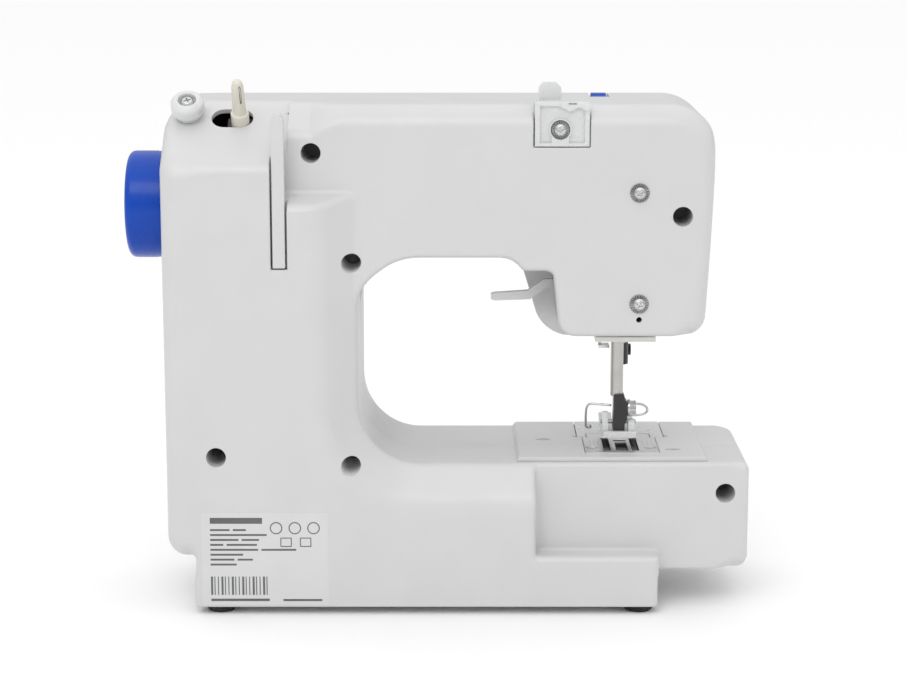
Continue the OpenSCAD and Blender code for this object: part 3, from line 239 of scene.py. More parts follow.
def surface(shape, xs, ys, zs):
    """Vertices and quads of a shape's zero level on a grid, with each vertex drawn onto it."""
    value = shape(*np.meshgrid(xs, ys, zs, indexing="ij"))
    inside = value < 0
    grid = [xs, ys, zs]
    n = [len(g) - 1 for g in grid]
    count = sum(
        inside[i : i + n[0], j : j + n[1], k : k + n[2]].astype(np.int8)
        for i in (0, 1) for j in (0, 1) for k in (0, 1)
    )
    cells = np.argwhere((count > 0) & (count < 8))
    number = -np.ones(n, int)
    number[tuple(cells.T)] = np.arange(len(cells))
    total, weight = np.zeros((len(cells), 3)), np.zeros(len(cells))
    faces = []
    for axis in range(3):
        b, c = (axis + 1) % 3, (axis + 2) % 3

        def shifted(places, db, dc):
            p = places.copy()
            p[:, b] += db
            p[:, c] += dc
            return p

        for db, dc in ((0, 0), (0, 1), (1, 0), (1, 1)):
            p = shifted(cells, db, dc)
            q = p.copy()
            q[:, axis] += 1
            fp, fq = value[tuple(p.T)], value[tuple(q.T)]
            crossed = (fp < 0) != (fq < 0)
            t = np.where(crossed, fp / np.where(crossed, fp - fq, 1), 0)
            at = np.stack([grid[m][p[:, m]] for m in range(3)], 1)
            at[:, axis] += t * (grid[axis][q[:, axis]] - grid[axis][p[:, axis]])
            total[crossed] += at[crossed]
            weight[crossed] += 1
        low = [slice(None)] * 3
        high = [slice(None)] * 3
        low[axis], high[axis] = slice(0, -1), slice(1, None)
        first, second = inside[tuple(low)], inside[tuple(high)]
        edges = np.argwhere(first != second)
        keep = (edges[:, b] > 0) & (edges[:, c] > 0) & (edges[:, b] < n[b]) & (edges[:, c] < n[c])
        edges = edges[keep]
        around = ((-1, -1), (0, -1), (0, 0), (-1, 0))
        quad = np.stack([number[tuple(shifted(edges, *d).T)] for d in around], 1)
        outward = first[tuple(edges.T)]
        quad[~outward] = quad[~outward][:, ::-1]
        faces.append(quad)
    points = total / weight[:, None]
    for _ in range(8):
        f, g = slope_of(shape, points)
        length = np.maximum((g * g).sum(1), 0.05)
        move = -(f / length)[:, None] * g
        size = np.linalg.norm(move, axis=1, keepdims=True)
        points = points + move * np.minimum(1, 0.8 / np.maximum(size, 1e-9))
    return points, np.concatenate(faces)


def slope_of(shape, p, h=0.02):
    """Value and gradient of a shape at points."""
    g = np.empty_like(p)
    for m in range(3):
        d = np.zeros(3)
        d[m] = h
        g[:, m] = (shape(*(p + d).T) - shape(*(p - d).T)) / (2 * h)
    return shape(*p.T), g


# --- small mesh shapes ---

# The point at height h along an axis, with a and b across it
AXES = {
    "x": lambda h, a, b: (h, a, b),
    "y": lambda h, a, b: (a, h, b),
    "z": lambda h, a, b: (a, b, h),
}


def box(a, b):
    x0, y0, z0 = a
    x1, y1, z1 = b
    v = [(x, y, z) for x in (x0, x1) for y in (y0, y1) for z in (z0, z1)]
    return v, [(0, 1, 3, 2), (4, 6, 7, 5), (0, 4, 5, 1), (2, 3, 7, 6), (0, 2, 6, 4), (1, 5, 7, 3)]


def fillet(points, closed=True, steps=5):
    """A run of (a, b) or (a, b, radius) corners, with arcs where a radius is given."""
    out, n = [], len(points)
    for i, p in enumerate(points):
        r = p[2] if len(p) > 2 else 0
        if r == 0 or (not closed and i in (0, n - 1)):
            out.append((p[0], p[1]))
            continue
        here = np.array(p[:2], float)
        u = np.array(points[i - 1][:2], float) - here
        w = np.array(points[(i + 1) % n][:2], float) - here
        u, w = u / np.linalg.norm(u), w / np.linalg.norm(w)
        half = math.acos(max(-1, min(1, float(u @ w)))) / 2
        centre = here + (u + w) / np.linalg.norm(u + w) * r / math.sin(half)
        a = here + u * r / math.tan(half) - centre
        b = here + w * r / math.tan(half) - centre
        turn = math.pi - 2 * half
        for k in range(steps + 1):
            t = k / steps
            v = a * math.sin((1 - t) * turn) + b * math.sin(t * turn)
            out.append(tuple(centre + v / math.sin(turn)))
    return out


def rounded(low, high, r, steps=5):
    """Outline of a rectangle with round corners."""
    (a0, b0), (a1, b1) = low, high
    return fillet([(a0, b0, r), (a1, b0, r), (a1, b1, r), (a0, b1, r)], steps=steps)


def prism(outline, axis, low, high):
    """Outline in the two other directions, in the order y z, x z or x y, between low and high."""
    n = len(outline)
    v = [AXES[axis](h, a, b) for h in (low, high) for a, b in outline]
    side = [(i, (i + 1) % n, n + (i + 1) % n, n + i) for i in range(n)]
    return v, side + [tuple(range(n))[::-1], tuple(range(n, 2 * n))]


def lathe(profile, axis, at, sides=64):
    """Profile of (radius, height) corners turned about an axis through the point at."""
    order = AXES[axis]
    v, rings = [], []
    for r, h in profile:
        if r < 1e-6:
            rings.append([len(v)])
            v.append(order(h, 0, 0))
        else:
            rings.append(list(range(len(v), len(v) + sides)))
            angles = [2 * math.pi * k / sides for k in range(sides)]
            v += [order(h, r * math.cos(t), r * math.sin(t)) for t in angles]
    faces = []
    closed = len(rings[0]) > 1 and len(rings[-1]) > 1
    pairs = list(zip(rings, rings[1:])) + ([(rings[-1], rings[0])] if closed else [])
    for a, b in pairs:
        for k in range(sides):
            m = (k + 1) % sides
            if len(a) == 1 and len(b) > 1:
                faces.append((a[0], b[k], b[m]))
            elif len(b) == 1 and len(a) > 1:
                faces.append((a[k], b[0], a[m]))
            elif len(a) > 1:
                faces.append((a[k], b[k], b[m], a[m]))
    return [tuple(np.add(p, at)) for p in v], faces


def turned(profile, axis, at, sides):
    """Solid turned about an axis from corners that start and end on it, some with a radius."""
    return lathe(fillet(profile, closed=False), axis, at, sides)


def rod(axis, r, low, high, at=(0, 0, 0), sides=40):
    """Solid cylinder along an axis, from low to high."""
    return lathe([(0, low), (r, low), (r, high), (0, high)], axis, at, sides)


def smooth_path(points, steps=6):
    """A smooth run through the points."""
    p = [np.array(q, float) for q in points]
    out = []
    for i in range(len(p) - 1):
        a, b, c, d = p[max(i - 1, 0)], p[i], p[i + 1], p[min(i + 2, len(p) - 1)]
        for k in range(steps):
            t = k / steps
            square = (2 * a - 5 * b + 4 * c - d) * t * t
            out.append(0.5 * (2 * b + (c - a) * t + square + (3 * b - a - 3 * c + d) * t**3))
    return out + [p[-1]]


def tube(path, r, sides=14):
    """Round wire along a path, with domed ends."""
    path = [np.array(q, float) for q in path]
    ends = [(path[0], path[0] - path[1]), (path[-1], path[-1] - path[-2])]
    scale = [1.0] * len(path)
    for end, (at, away) in enumerate(ends):
        away = away / np.linalg.norm(away)
        extra = [(at + away * r * math.sin(t), math.cos(t)) for t in (0.5, 1.0, 1.35)]
        if end == 0:
            path = [q for q, _ in extra[::-1]] + path
            scale = [s for _, s in extra[::-1]] + scale
        else:
            path += [q for q, _ in extra]
            scale += [s for _, s in extra]
    v, faces = [], []
    normal = None
    for i, q in enumerate(path):
        along = path[min(i + 1, len(path) - 1)] - path[max(i - 1, 0)]
        along = along / np.linalg.norm(along)
        if normal is None:
            normal = np.cross(along, (0.3, 0.5, 0.81))
        normal = normal - along * (normal @ along)
        normal = normal / np.linalg.norm(normal)
        other = np.cross(along, normal)
        for k in range(sides):
            t = 2 * math.pi * k / sides
            v.append(tuple(q + r * scale[i] * (normal * math.cos(t) + other * math.sin(t))))
        if i:
            a, b = (i - 1) * sides, i * sides
            pairs = [(k, (k + 1) % sides) for k in range(sides)]
            faces += [(a + k, a + m, b + m, b + k) for k, m in pairs]
    last = (len(path) - 1) * sides
    return v, faces + [tuple(range(sides))[::-1], tuple(range(last, last + sides))]


def moved(data, matrix):
    """A shape's data carried by a matrix."""
    return [tuple(matrix @ Vector(p)) for p in data[0]], data[1]


def on_slope(x, y, out=0.0):
    """Frame with +Z standing off the winder slope and +Y running down it."""
    m = Matrix.Translation((x, y, TOP - (y - SLOPE_Y) * SLOPE)) @ Matrix.Rotation(-SLOPE_A, 4, "X")
    return m @ Matrix.Translation((0, 0, out))


def joined(*parts):
    """Several shapes as one."""
    v, f = [], []
    for pv, pf in parts:
        f += [tuple(i + len(v) for i in face) for face in pf]
        v += list(pv)
    return v, f


# --- making objects ---


def raw(name, data):
    """A plain object from vertices in millimetres and faces, with its faces turned outwards."""
    mesh = bpy.data.meshes.new(name)
    verts = np.asarray(data[0], float) * MM
    mesh.from_pydata(verts.tolist(), [], [tuple(int(i) for i in f) for f in data[1]])
    bm = bmesh.new()
    bm.from_mesh(mesh)
    bmesh.ops.recalc_face_normals(bm, faces=bm.faces)
    bm.to_mesh(mesh)
    bm.free()
    obj = bpy.data.objects.new(name, mesh)
    bpy.context.scene.collection.objects.link(obj)
    return obj


def carve(obj, cuts=(), adds=(), clean=True):
    """Joins and cuts closed shapes; clean removes the lines this leaves across flat faces."""
    tools = []
    for operation, parts in (("UNION", adds), ("DIFFERENCE", cuts)):
        for data in parts:
            tool = raw("tool", data)
            tools.append(tool)
            m = obj.modifiers.new("carve", "BOOLEAN")
            m.operation, m.object, m.solver = operation, tool, "MANIFOLD"
    if clean:
        m = obj.modifiers.new("weld", "WELD")
        m.merge_threshold = 1e-6
        m = obj.modifiers.new("clean", "DECIMATE")
        m.decimate_type, m.angle_limit = "DISSOLVE", math.radians(0.5)
    bpy.context.view_layer.update()
    graph = bpy.context.evaluated_depsgraph_get()
    mesh = bpy.data.meshes.new_from_object(obj.evaluated_get(graph))
    obj.modifiers.clear()
    obj.data = mesh
    for tool in tools:
        bpy.data.objects.remove(tool)
    return obj


SHARP = math.radians(32)  # edges that turn by more than this are rounded, or shaded as edges


def soften(obj, width, segments=3):
    """Rounds the edges and smooths the shading between them."""
    if width:
        m = obj.modifiers.new("round", "BEVEL")
        m.width, m.segments, m.limit_method = width * MM, segments, "ANGLE"
        m.angle_limit, m.miter_outer = SHARP, "MITER_ARC"
    m = obj.modifiers.new("even", "WEIGHTED_NORMAL")
    m.keep_sharp, m.weight = True, 60


def piece(name, body_name, obj, finish, replaces=(), width=0):
    """Finishes an object: edges, material, the body it rides on, the CAD nodes it stands for."""
    obj.name = obj.data.name = name
    for p in obj.data.polygons:
        p.use_smooth = True
    if not width:
        obj.data.set_sharp_from_angle(angle=SHARP)
    soften(obj, width)
    mat, slot = MATERIALS[finish]
    obj.data.materials.clear()
    obj.data.materials.append(mat)
    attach(obj, body_name)
    if replaces:
        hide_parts(*replaces)
    return obj


# --- materials ---


COAT_ROUGH, PLASTIC_IOR, SOFT_DEPTH, GRAIN_DEPTH, BLOTCH = 0.12, 1.49, 0.004, 0.0002, 40.0


def put(node, **values):
    """Sets constants on a node's sockets; an underscore stands for a space in a socket's name."""
    for socket, value in values.items():
        node.inputs[socket.replace("_", " ")].default_value = value
    return node


def material(name, colour, rough, metallic=0.0, spread=0.05, tint=0.03, grain=1500, bump=0.10,
             stretch=None, coat=0.0, through=0.0, soft=0.0, wear=0.0, gloss=0.5):
    """A finish with uneven colour and roughness, a fine surface texture and worn edges.

    spread and tint vary the roughness and colour, grain and bump are the fine texture's scale
    and strength, and stretch draws it out, as brushing does.
    """
    mat = bpy.data.materials.new(name)
    mat.use_nodes = True
    nodes, links = mat.node_tree.nodes, mat.node_tree.links
    shader = put(nodes["Principled BSDF"], Metallic=metallic, Coat_Weight=coat,
                 Coat_Roughness=COAT_ROUGH, Specular_IOR_Level=gloss, Transmission_Weight=through,
                 IOR=PLASTIC_IOR)
    if soft:
        put(shader, Subsurface_Weight=soft, Subsurface_Radius=(SOFT_DEPTH,) * 3,
            Subsurface_Scale=1.0)
    source = nodes.new("ShaderNodeTexCoord").outputs["Object"]

    def noise(scale, detail, roughness=0.5, squeeze=None):
        tex = put(nodes.new("ShaderNodeTexNoise"), Scale=scale, Detail=detail, Roughness=roughness)
        place = source
        if squeeze:
            mapping = put(nodes.new("ShaderNodeMapping"), Scale=squeeze)
            links.new(source, mapping.inputs["Vector"])
            place = mapping.outputs["Vector"]
        links.new(place, tex.inputs["Vector"])
        return tex.outputs["Fac"]

    def remap(value, low, high, out_low, out_high):
        node = put(nodes.new("ShaderNodeMapRange"), From_Min=low, From_Max=high, To_Min=out_low,
                   To_Max=out_high)
        links.new(value, node.inputs["Value"])
        return node.outputs["Result"]

    def mix(factor, a, b):
        node = nodes.new("ShaderNodeMix")
        node.data_type = "RGBA"
        links.new(factor, node.inputs["Factor"])
        for socket, value in ((node.inputs["A"], a), (node.inputs["B"], b)):
            if isinstance(value, tuple):
                socket.default_value = (*value, 1.0)
            else:
                links.new(value, socket)
        return node.outputs["Result"]

    dark = tuple(c * (1 - tint) for c in colour)
    light = tuple(min(1.0, c * (1 + tint)) for c in colour)
    cloud = noise(BLOTCH, 3.0)
    shade = mix(remap(cloud, 0.35, 0.65, 0.0, 1.0), dark, light)
    if wear:
        geometry = nodes.new("ShaderNodeNewGeometry")
        edge = remap(geometry.outputs["Pointiness"], 0.52, 0.6, 0.0, wear)
        broken = nodes.new("ShaderNodeMath")
        broken.operation = "MULTIPLY"
        links.new(edge, broken.inputs[0])
        links.new(remap(noise(260.0, 4.0), 0.45, 0.6, 0.0, 1.0), broken.inputs[1])
        worn = tuple(min(1.0, 0.35 + c * 0.65) for c in colour)
        shade = mix(broken.outputs["Value"], shade, worn)
    links.new(shade, shader.inputs["Base Color"])
    fine = noise(grain, 5.0, 0.6, stretch)
    uneven = remap(noise(BLOTCH * 3.3, 4.0, 0.6), 0.3, 0.7, rough - spread, rough + spread)
    links.new(uneven, shader.inputs["Roughness"])
    lift = put(nodes.new("ShaderNodeBump"), Strength=bump, Distance=GRAIN_DEPTH)
    links.new(fine, lift.inputs["Height"])
    links.new(lift.outputs["Normal"], shader.inputs["Normal"])
    return mat


BRUSHED_X, BRUSHED_Z = (0.04, 1.0, 1.0), (1.0, 1.0, 0.04)
# Each finish: its slot, its material's name, colour, roughness, and what isn't as usual
FINISHES = {
    "body": ("cover_white", "body_white", (0.61, 0.61, 0.614), 0.34, dict(tint=0.012)),
    # dark grey for the covers' hollows and hole walls: painted shade on the white plastic inside
    "inside": ("cover_white", "inside_painted_shade", (0.20,) * 3, 0.5, dict(grain=1200)),
    "panel": ("cover_white", "panel_white", (0.76,) * 3, 0.32, dict(grain=1400, tint=0.012)),
    "trim": ("trim_white", "trim_white", (0.69, 0.70, 0.70), 0.30,
        dict(grain=1100, bump=0.08, soft=0.35, tint=0.015)),
    "grey_trim": ("trim_white", "trim_grey", (0.55, 0.56, 0.57), 0.45,
        dict(grain=1100, bump=0.12)),
    "blue": ("blue_plastic", "royal_blue", (0.003, 0.058, 0.42), 0.26,
        dict(grain=1400, bump=0.05, coat=0.08, tint=0.05, spread=0.04, wear=0.15,
             gloss=0.22)),
    "cream": ("cover_white", "cream", (0.80, 0.79, 0.74), 0.42, dict(grain=1000, tint=0.02)),
    "dark_steel": ("bright_steel", "zinc_steel", (0.36, 0.37, 0.36), 0.34,
        dict(metallic=1.0, grain=1800, bump=0.2, tint=0.15, spread=0.08)),
    "ivory": ("ivory_nylon", "ivory", (0.68, 0.65, 0.56), 0.42, dict(grain=900, soft=0.2)),
    "silver": ("bright_steel", "nickel", (0.60, 0.60, 0.605), 0.24,
        dict(metallic=1.0, grain=1600, bump=0.08, tint=0.05, spread=0.08, wear=0.4)),
    "plate": ("bright_steel", "brushed_plate", (0.66, 0.66, 0.67), 0.33,
        dict(metallic=1.0, grain=2600, bump=0.30, tint=0.05, spread=0.07,
             stretch=BRUSHED_X)),
    "steel": ("grey_steel", "ground_steel", (0.50, 0.49, 0.47), 0.36,
        dict(metallic=1.0, grain=2600, bump=0.30, tint=0.08, spread=0.08,
             stretch=BRUSHED_Z, wear=0.3)),
    "black_metal": ("black_metal", "black_metal", (0.018, 0.018, 0.020), 0.38,
        dict(bump=0.20, tint=0.2, spread=0.08)),
    "black_plastic": ("black_plastic", "black_plastic", (0.022, 0.022, 0.024), 0.46,
        dict(grain=1200, bump=0.25, tint=0.15, wear=0.3)),
    "rubber": ("black_rubber", "rubber", (0.014,) * 3, 0.78,
        dict(grain=1100, bump=0.5, tint=0.25, spread=0.08, wear=0.3)),
    "bronze": ("bush_brass", "bronze", (0.48, 0.32, 0.14), 0.38,
        dict(metallic=1.0, bump=0.25, tint=0.1)),
    "cast": ("cast_frame", "cast_metal", (0.42, 0.43, 0.44), 0.55,
        dict(metallic=1.0, grain=700, bump=0.6, tint=0.08)),
    "board": ("board_green", "board_green", (0.012, 0.12, 0.05), 0.35,
        dict(grain=900, bump=0.2, tint=0.15)),
    "lens": ("lamp_lens", "lamp_lens", (0.86, 0.84, 0.78), 0.25,
        dict(grain=900, bump=0.08, soft=0.4)),
    "clear": ("clear_plastic", "clear_plastic", (0.80, 0.84, 0.86), 0.10,
        dict(grain=1300, bump=0.03, through=0.85, tint=0.01, spread=0.03)),
    "frosted": ("trim_white", "frosted_plastic", (0.72, 0.725, 0.73), 0.30,
        dict(grain=1300, bump=0.06, through=0.10, soft=0.3, tint=0.01)),
    "paper": ("label_paper", "label_silver", (0.64, 0.64, 0.645), 0.40, dict(tint=0.015)),
    "ink": ("label_paper", "grey_ink", (0.12, 0.12, 0.125), 0.5, dict(tint=0.15)),
    "pale_ink": ("label_paper", "pale_ink", (0.42, 0.42, 0.43), 0.5, dict(tint=0.10)),
}
MATERIALS = {key: (material(name, colour, rough, **options), slot)
             for key, (slot, name, colour, rough, options) in FINISHES.items()}


# --- the two covers ---

# Stretches of the grid that are finer than COARSE, where the covers have edges
COARSE = 3.6
X_FINE = [(-145, -134, 1.0), (-128, -111, 1.3), (-105, -99, 0.8), (-70.5, -67, 0.5),
          (-58, -51, 0.9), (-48, -41, 0.8), (34, 40, 1.0), (42, 60, 1.6), (66, 69.5, 0.45),
          (73.5, 77, 0.45), (109, 126, 1.1)]
Y_FINE = [(-38.5, -27, 1.0), (5.5, 8.5, 0.25), (36.5, 43.5, 0.7), (45.8, 54.2, 0.7)]
Z_FINE = [(2.5, 6, 0.6), (17, 21, 0.8), (25, 30, 0.8), (65, 75, 0.9), (119, 134, 1.2),
          (159.5, 168, 0.8), (186, 198, 1.0), (204, 220, 1.0), (220, 235.5, 1.0)]
# The hollow's grid has to reach past INNER_FLOOR, or its mesh isn't closed
HOLLOW_X, HOLLOW_Z = np.arange(-150, 130, 2.7), np.arange(-24, 240, 2.7)


def cover_mesh(name, outside, hollow, y_low, y_high, tools):
    """A hollow cover with its holes, with shading normals taken from the outside shape."""
    xs, zs = lines(-149, 129, COARSE, X_FINE), lines(0, 238, COARSE, Z_FINE)
    fine = surface(outside, xs, lines(y_low, y_high, COARSE, Y_FINE), zs)
    rough = surface(hollow, HOLLOW_X, np.arange(y_low - 6.1, y_high + 8, 2.6), HOLLOW_Z)
    obj = raw(name, fine)
    carve(obj, cuts=[rough] + tools, clean=False)
    mesh = obj.data
    for p in mesh.polygons:
        p.use_smooth = True
    mesh.set_sharp_from_angle(angle=SHARP)
    points = np.empty(len(mesh.vertices) * 3)
    mesh.vertices.foreach_get("co", points)
    points = points.reshape(-1, 3) / MM
    value, gradient = slope_of(outside, points)
    gradient = gradient / np.maximum(np.linalg.norm(gradient, axis=1, keepdims=True), 1e-9)
    corner = np.empty(len(mesh.loops), int)
    mesh.loops.foreach_get("vertex_index", corner)
    flat = np.array([tuple(p.normal) for p in mesh.polygons])
    owner = np.repeat(np.arange(len(mesh.polygons)), [p.loop_total for p in mesh.polygons])
    normals = gradient[corner]
    # corners off the outside shape, or facing another way, keep their mesh normals
    own = (np.abs(value[corner]) < 0.05) & ((normals * flat[owner]).sum(1) > 0.72)
    normals[~own] = 0
    mesh.normals_split_custom_set(normals.tolist())
    return obj


def rim_hole(x, z, y0, y1, r, rim=0.35):
    """A round hole along Y that opens at y1 with a softened edge."""
    profile = [(0, y0), (r, y0), (r, y1 - rim)]
    profile += [(r + rim * (1 - math.cos(t)), y1 - rim + rim * math.sin(t))
                for t in (0.4, 0.8, 1.2, math.pi / 2)]
    profile += [(r + rim, y1 + 6), (0, y1 + 6)]
    return lathe(profile, "y", (x, 0, z), 56)


def shared_tools():
    """The opening under the bed panel, the head's opening below, and the handwheel's hole."""
    return [
        box((-117, FRONT_Y + 5, BED_Z - 10), (-41, REAR_Y - 7, BED_Z + 5)),
        box((-98, -8, 117.8), (-75.5, 22.5, 134.6)),
        rod("x", 9, 115, 135, (0, SHAFT_Y, SHAFT_Z), 64),
    ]


def cover_screw_hole(x, z):
    """Deep hole of a cover screw; it has no soft rim where the face behind it is slanted."""
    depth = 0
    if z < SHELF_Z and x > DEEP_X:
        behind = max(float(throat_side(np.float64(x), np.float64(z))), 0)
        depth = min(behind / FLARE * DEEPER, DEEPER)
    if depth in (0, DEEPER):
        return rim_hole(x, z, COVER_SCREW_Y, REAR_Y + depth, COVER_SCREW_R)
    return rod("y", COVER_SCREW_R, COVER_SCREW_Y, 70, (x, 0, z), 56)


def make_rear_cover():
    tools = shared_tools()
    tools += [cover_screw_hole(x, z) for x, z in COVER_SCREWS]
    tools += [rod("y", 1.7, 30, 60, (x, 0, z), 32) for x, z in PAN_SCREWS + [GUIDE_SCREW]]
    tools.append(rim_hole(-91.7, 136.5, 30, REAR_Y, 1.3, 0.2))
    # slot of the lifter lever, and the row of small slits on the head's inner side
    tools.append(box((-60, 13, 133), (-51, 24, 155.5)))
    tools += [box((-60, 26, z), (-50, 37, z + 0.8)) for z in np.arange(133.6, 144, 1.7)]
    # stopper's screw, spindle's slot, spool pin's hole, sockets
    tools.append(moved(rod("z", 1.5, -6, 3, sides=32), on_slope(*STOPPER)))
    spindle_slot = rounded((-9.5, -6), (9.5, 6), 5.9, steps=8)
    tools.append(moved(prism(spindle_slot, "z", -8, 8), on_slope(93.5, 27)))
    tools.append(box((PIN_X - 1.6, 39, CHANNEL_Z + 2), (PIN_X + 1.6, 48, CHANNEL_Z + 47.5)))
    tools += [rod("x", r, 115, 135, (0, y, z)) for y, z, r in SOCKETS]
    return cover_mesh("cover_rear", rear_outside, rear_hollow, 5.5, 56, tools)


def make_front_cover():
    outer, inner = FRONT_Y - 5, FRONT_Y + 5
    tools = shared_tools()
    tools += [
        # tension dial's slot in the top, take-up lever's slot, needle light's hole
        box((DIAL_X[0] - 1, DIAL_Y - DIAL_R, 214), (DIAL_X[1] + 1, DIAL_Y + DIAL_R, 240)),
        box((-99.2, outer, 174), (-93, -27, 227)),
        rod("z", 4.6, 120.8, 126.8, (-64, -6, 0)),
        # pattern dial, reverse lever, slide switch and light button
        rod("y", 4.2, outer, inner, (PATTERN_DIAL[0], 0, PATTERN_DIAL[1])),
        prism(rounded((80, 58), (88, 84), 1), "y", outer, inner),
        prism(rounded((86, 203), (102, 209), 0.8), "y", outer, inner),
        rod("y", 4.3, outer, inner, (LIGHT_BUTTON[0], 0, LIGHT_BUTTON[1])),
    ]
    return cover_mesh("cover_front", front_outside, front_hollow, -40.5, 9, tools)


piece("cover_rear", "machine", make_rear_cover(), "body", ["rear_cover"])
piece("cover_front", "machine", make_front_cover(), "body", ["front_cover"])
for name, outside in (("cover_rear", rear_outside), ("cover_front", front_outside)):
    cover = bpy.data.objects[name]
    cover.modifiers.clear()
    # faces more than 1 mm under the outside, that is hollows and hole walls, take the dark inside
    # finish as painted shade
    cover.data.materials.append(MATERIALS["inside"][0])
    points = np.array([tuple(v.co / MM) for v in cover.data.vertices])
    depth = outside(*points.T)
    for p in cover.data.polygons:
        p.material_index = int(max(depth[v] for v in p.vertices) < -1)

# --- finishing the CAD nodes that stay ---

DRESS = {
    "body": "bed_panel lifter_lever spool_pin",
    "cream": "head_bottom_plate",
    "trim": "base_plate motor_pulley",
    "silver": "cover_screws plate_screws needle_thread_guide motor presser_spring tension_post"
              " upper_shaft lower_shaft needle take_up_lever",
    "plate": "needle_plate",
    "steel": "crank rotary_hook needle_bar connecting_rod",
    # the feed dogs take the black finish as painted shade, so the slots of the needle plate read
    # dark
    "black_metal": "needle_clamp feed_bar feed_dogs",
    "frosted": "bobbin_cover",
    "cast": "chassis",
    "bronze": "shaft_bushes",
    "black_plastic": "bobbin_case dc_jack pedal_jack upper_timing_pulley lower_timing_pulley"
                     " power_switch winder_arm",
    "rubber": "rubber_feet drive_belt timing_belt winder_wheel",
    "board": "circuit_board",
    "lens": "lamp",
    "ivory": "hook_drive_gear",
    "clear": "bobbin",
    "blue": "tension_dial pattern_dial reverse_lever light_button",
}
EDGE_WIDTHS = {
    "lifter_lever": 0.9, "spool_pin": 0.5, "bed_panel": 0.35, "head_bottom_plate": 0.4,
    "reverse_lever": 1.4, "light_button": 0.8, "pattern_dial": 0.5, "rubber_feet": 0.5,
    "chassis": 0.4, "power_switch": 0.4, "needle_plate": 0.15, "base_plate": 0.5,
}
KEEP_NORMALS = {"presser_spring", "needle", "feed_dogs"}


def dress(name, key):
    """Gives a CAD node its material and rounds its edges."""
    node = NODES[name]
    for place in node.material_slots:
        place.material = MATERIALS[key][0]
    if name not in KEEP_NORMALS:
        weld = node.modifiers.new("weld", "WELD")
        weld.merge_threshold = 1e-6
        soften(node, EDGE_WIDTHS.get(name, 0.2), segments=2)


for key, names in DRESS.items():
    for name in names.split():
        dress(name, key)


# --- screws ---


def taken(obj):
    """An object's mesh as plain data in millimetres; the object goes."""
    mesh = obj.data
    data = [tuple(v.co / MM) for v in mesh.vertices], [tuple(p.vertices) for p in mesh.polygons]
    bpy.data.objects.remove(obj)
    return data


def cross_screw(head_r, shank_l):
    """Pan-head screw on z = 0 with a cross recess."""
    shank_r, height, depth = 1.45, 2.1, 1.2
    profile = [(0, -shank_l), (shank_r, -shank_l), (shank_r, 0), (head_r, 0), (head_r, 1.1, 0.6),
               (head_r * 0.66, height, 0.6), (0, height)]
    head = raw("screw", turned(profile, "z", (0, 0, 0), 40))
    arm, half = head_r * 0.52, 0.36
    low, top = height - depth, height + 1
    carve(head, cuts=[box((-a, -b, low), (a, b, top)) for a, b in ((arm, half), (half, arm))])
    return taken(head)


def toothed_washer(inner, outer, teeth=20):
    """Flat ring on z = 0 whose top is ribbed all round."""
    profile = [(inner, 0), (outer, 0), (outer, 0.3), (outer - 0.3, 0.5), (inner + 0.2, 0.5),
               (inner, 0.3)]
    ring, faces = lathe(profile, "z", (0, 0, 0), teeth * 6)
    points = []
    for x, y, z in ring:
        rib = 0.2 * (1 + math.cos(teeth * math.atan2(y, x))) if z > 0.4 else 0
        points.append((x, y, z + rib))
    return points, faces


TO_REAR = Matrix.Rotation(math.radians(-90), 4, "X")


def screw_places():
    """Frame and washer's radius of the two pan screws and the guide's screw."""
    for x, z in PAN_SCREWS:
        yield Matrix.Translation((x, REAR_Y, z)) @ TO_REAR, 4.4
    yield Matrix.Translation((GUIDE_SCREW[0], REAR_Y - 1.5, GUIDE_SCREW[1])) @ TO_REAR, 4.2


def make_pan_screws():
    screw = cross_screw(2.8, 9)
    on_washer = Matrix.Translation((0, 0, 0.6))
    heads = [moved(screw, place @ on_washer @ Matrix.Rotation(turn, 4, "Z"))
             for (place, _), turn in zip(screw_places(), (0.5, 1.1, 0.2))]
    seat = on_slope(*STOPPER, STOPPER_SEAT) @ Matrix.Rotation(0.35, 4, "Z")
    heads.append(moved(cross_screw(3.2, 12), seat))
    return raw("screws", joined(*heads))


def make_washers():
    washers = [moved(toothed_washer(1.6, r), place) for place, r in screw_places()]
    return raw("washers", joined(*washers))


piece("pan_screw_heads", "machine", make_pan_screws(), "silver", ["pan_screws"], width=0.08)
piece("pan_screw_washers", "machine", make_washers(), "dark_steel")

# --- handwheel ---


def make_handwheel():
    r, x = WHEEL_R, WHEEL_X
    pulley = [(3.5, 112), (21.4, 112, 0.3), (21.4, 113), (19.2, 113.4), (19.2, 117.6),
              (21.4, 118), (21.4, 119, 0.3)]
    rim = [(8.5, 119), (8.5, 126), (r - 0.7, 126, 0.6), (r, 131), (r, x, 3.2), (r - 4.4, x, 1.4),
           (r - 5.4, x - 2.2, 1.0)]
    hub = [(10.2, x - 2.2, 0.8), (9.4, x - 1.2, 0.8), (0, x - 1.2)]
    profile = [(0, x - 6), (3.5, x - 6)] + pulley + rim + hub
    return raw("wheel", turned(profile, "x", (0, SHAFT_Y, SHAFT_Z), 144))


piece("handwheel_rim", "handwheel_shaft", make_handwheel(), "blue", ["handwheel"])

# --- bobbin winder ---

SPINDLE_TURN = Matrix.Rotation(math.radians(118), 4, "Z")


def make_spindle():
    profile = [(0, -15), (2, -15), (2, -2.6), (4.1, -2.6, 0.3), (4.1, 5.2, 0.7),
               (3.05, 5.6, 0.4), (2.75, 21, 3.0), (1.9, 24.2, 1.3), (0, 24.5)]
    obj = raw("spindle", moved(turned(profile, "z", (0, 0, 0), 56), on_slope(*SPINDLE)))
    slit = moved(box((1.3, -0.5, 12.5), (4, 0.5, 22.6)), on_slope(*SPINDLE) @ SPINDLE_TURN)
    return carve(obj, cuts=[slit])


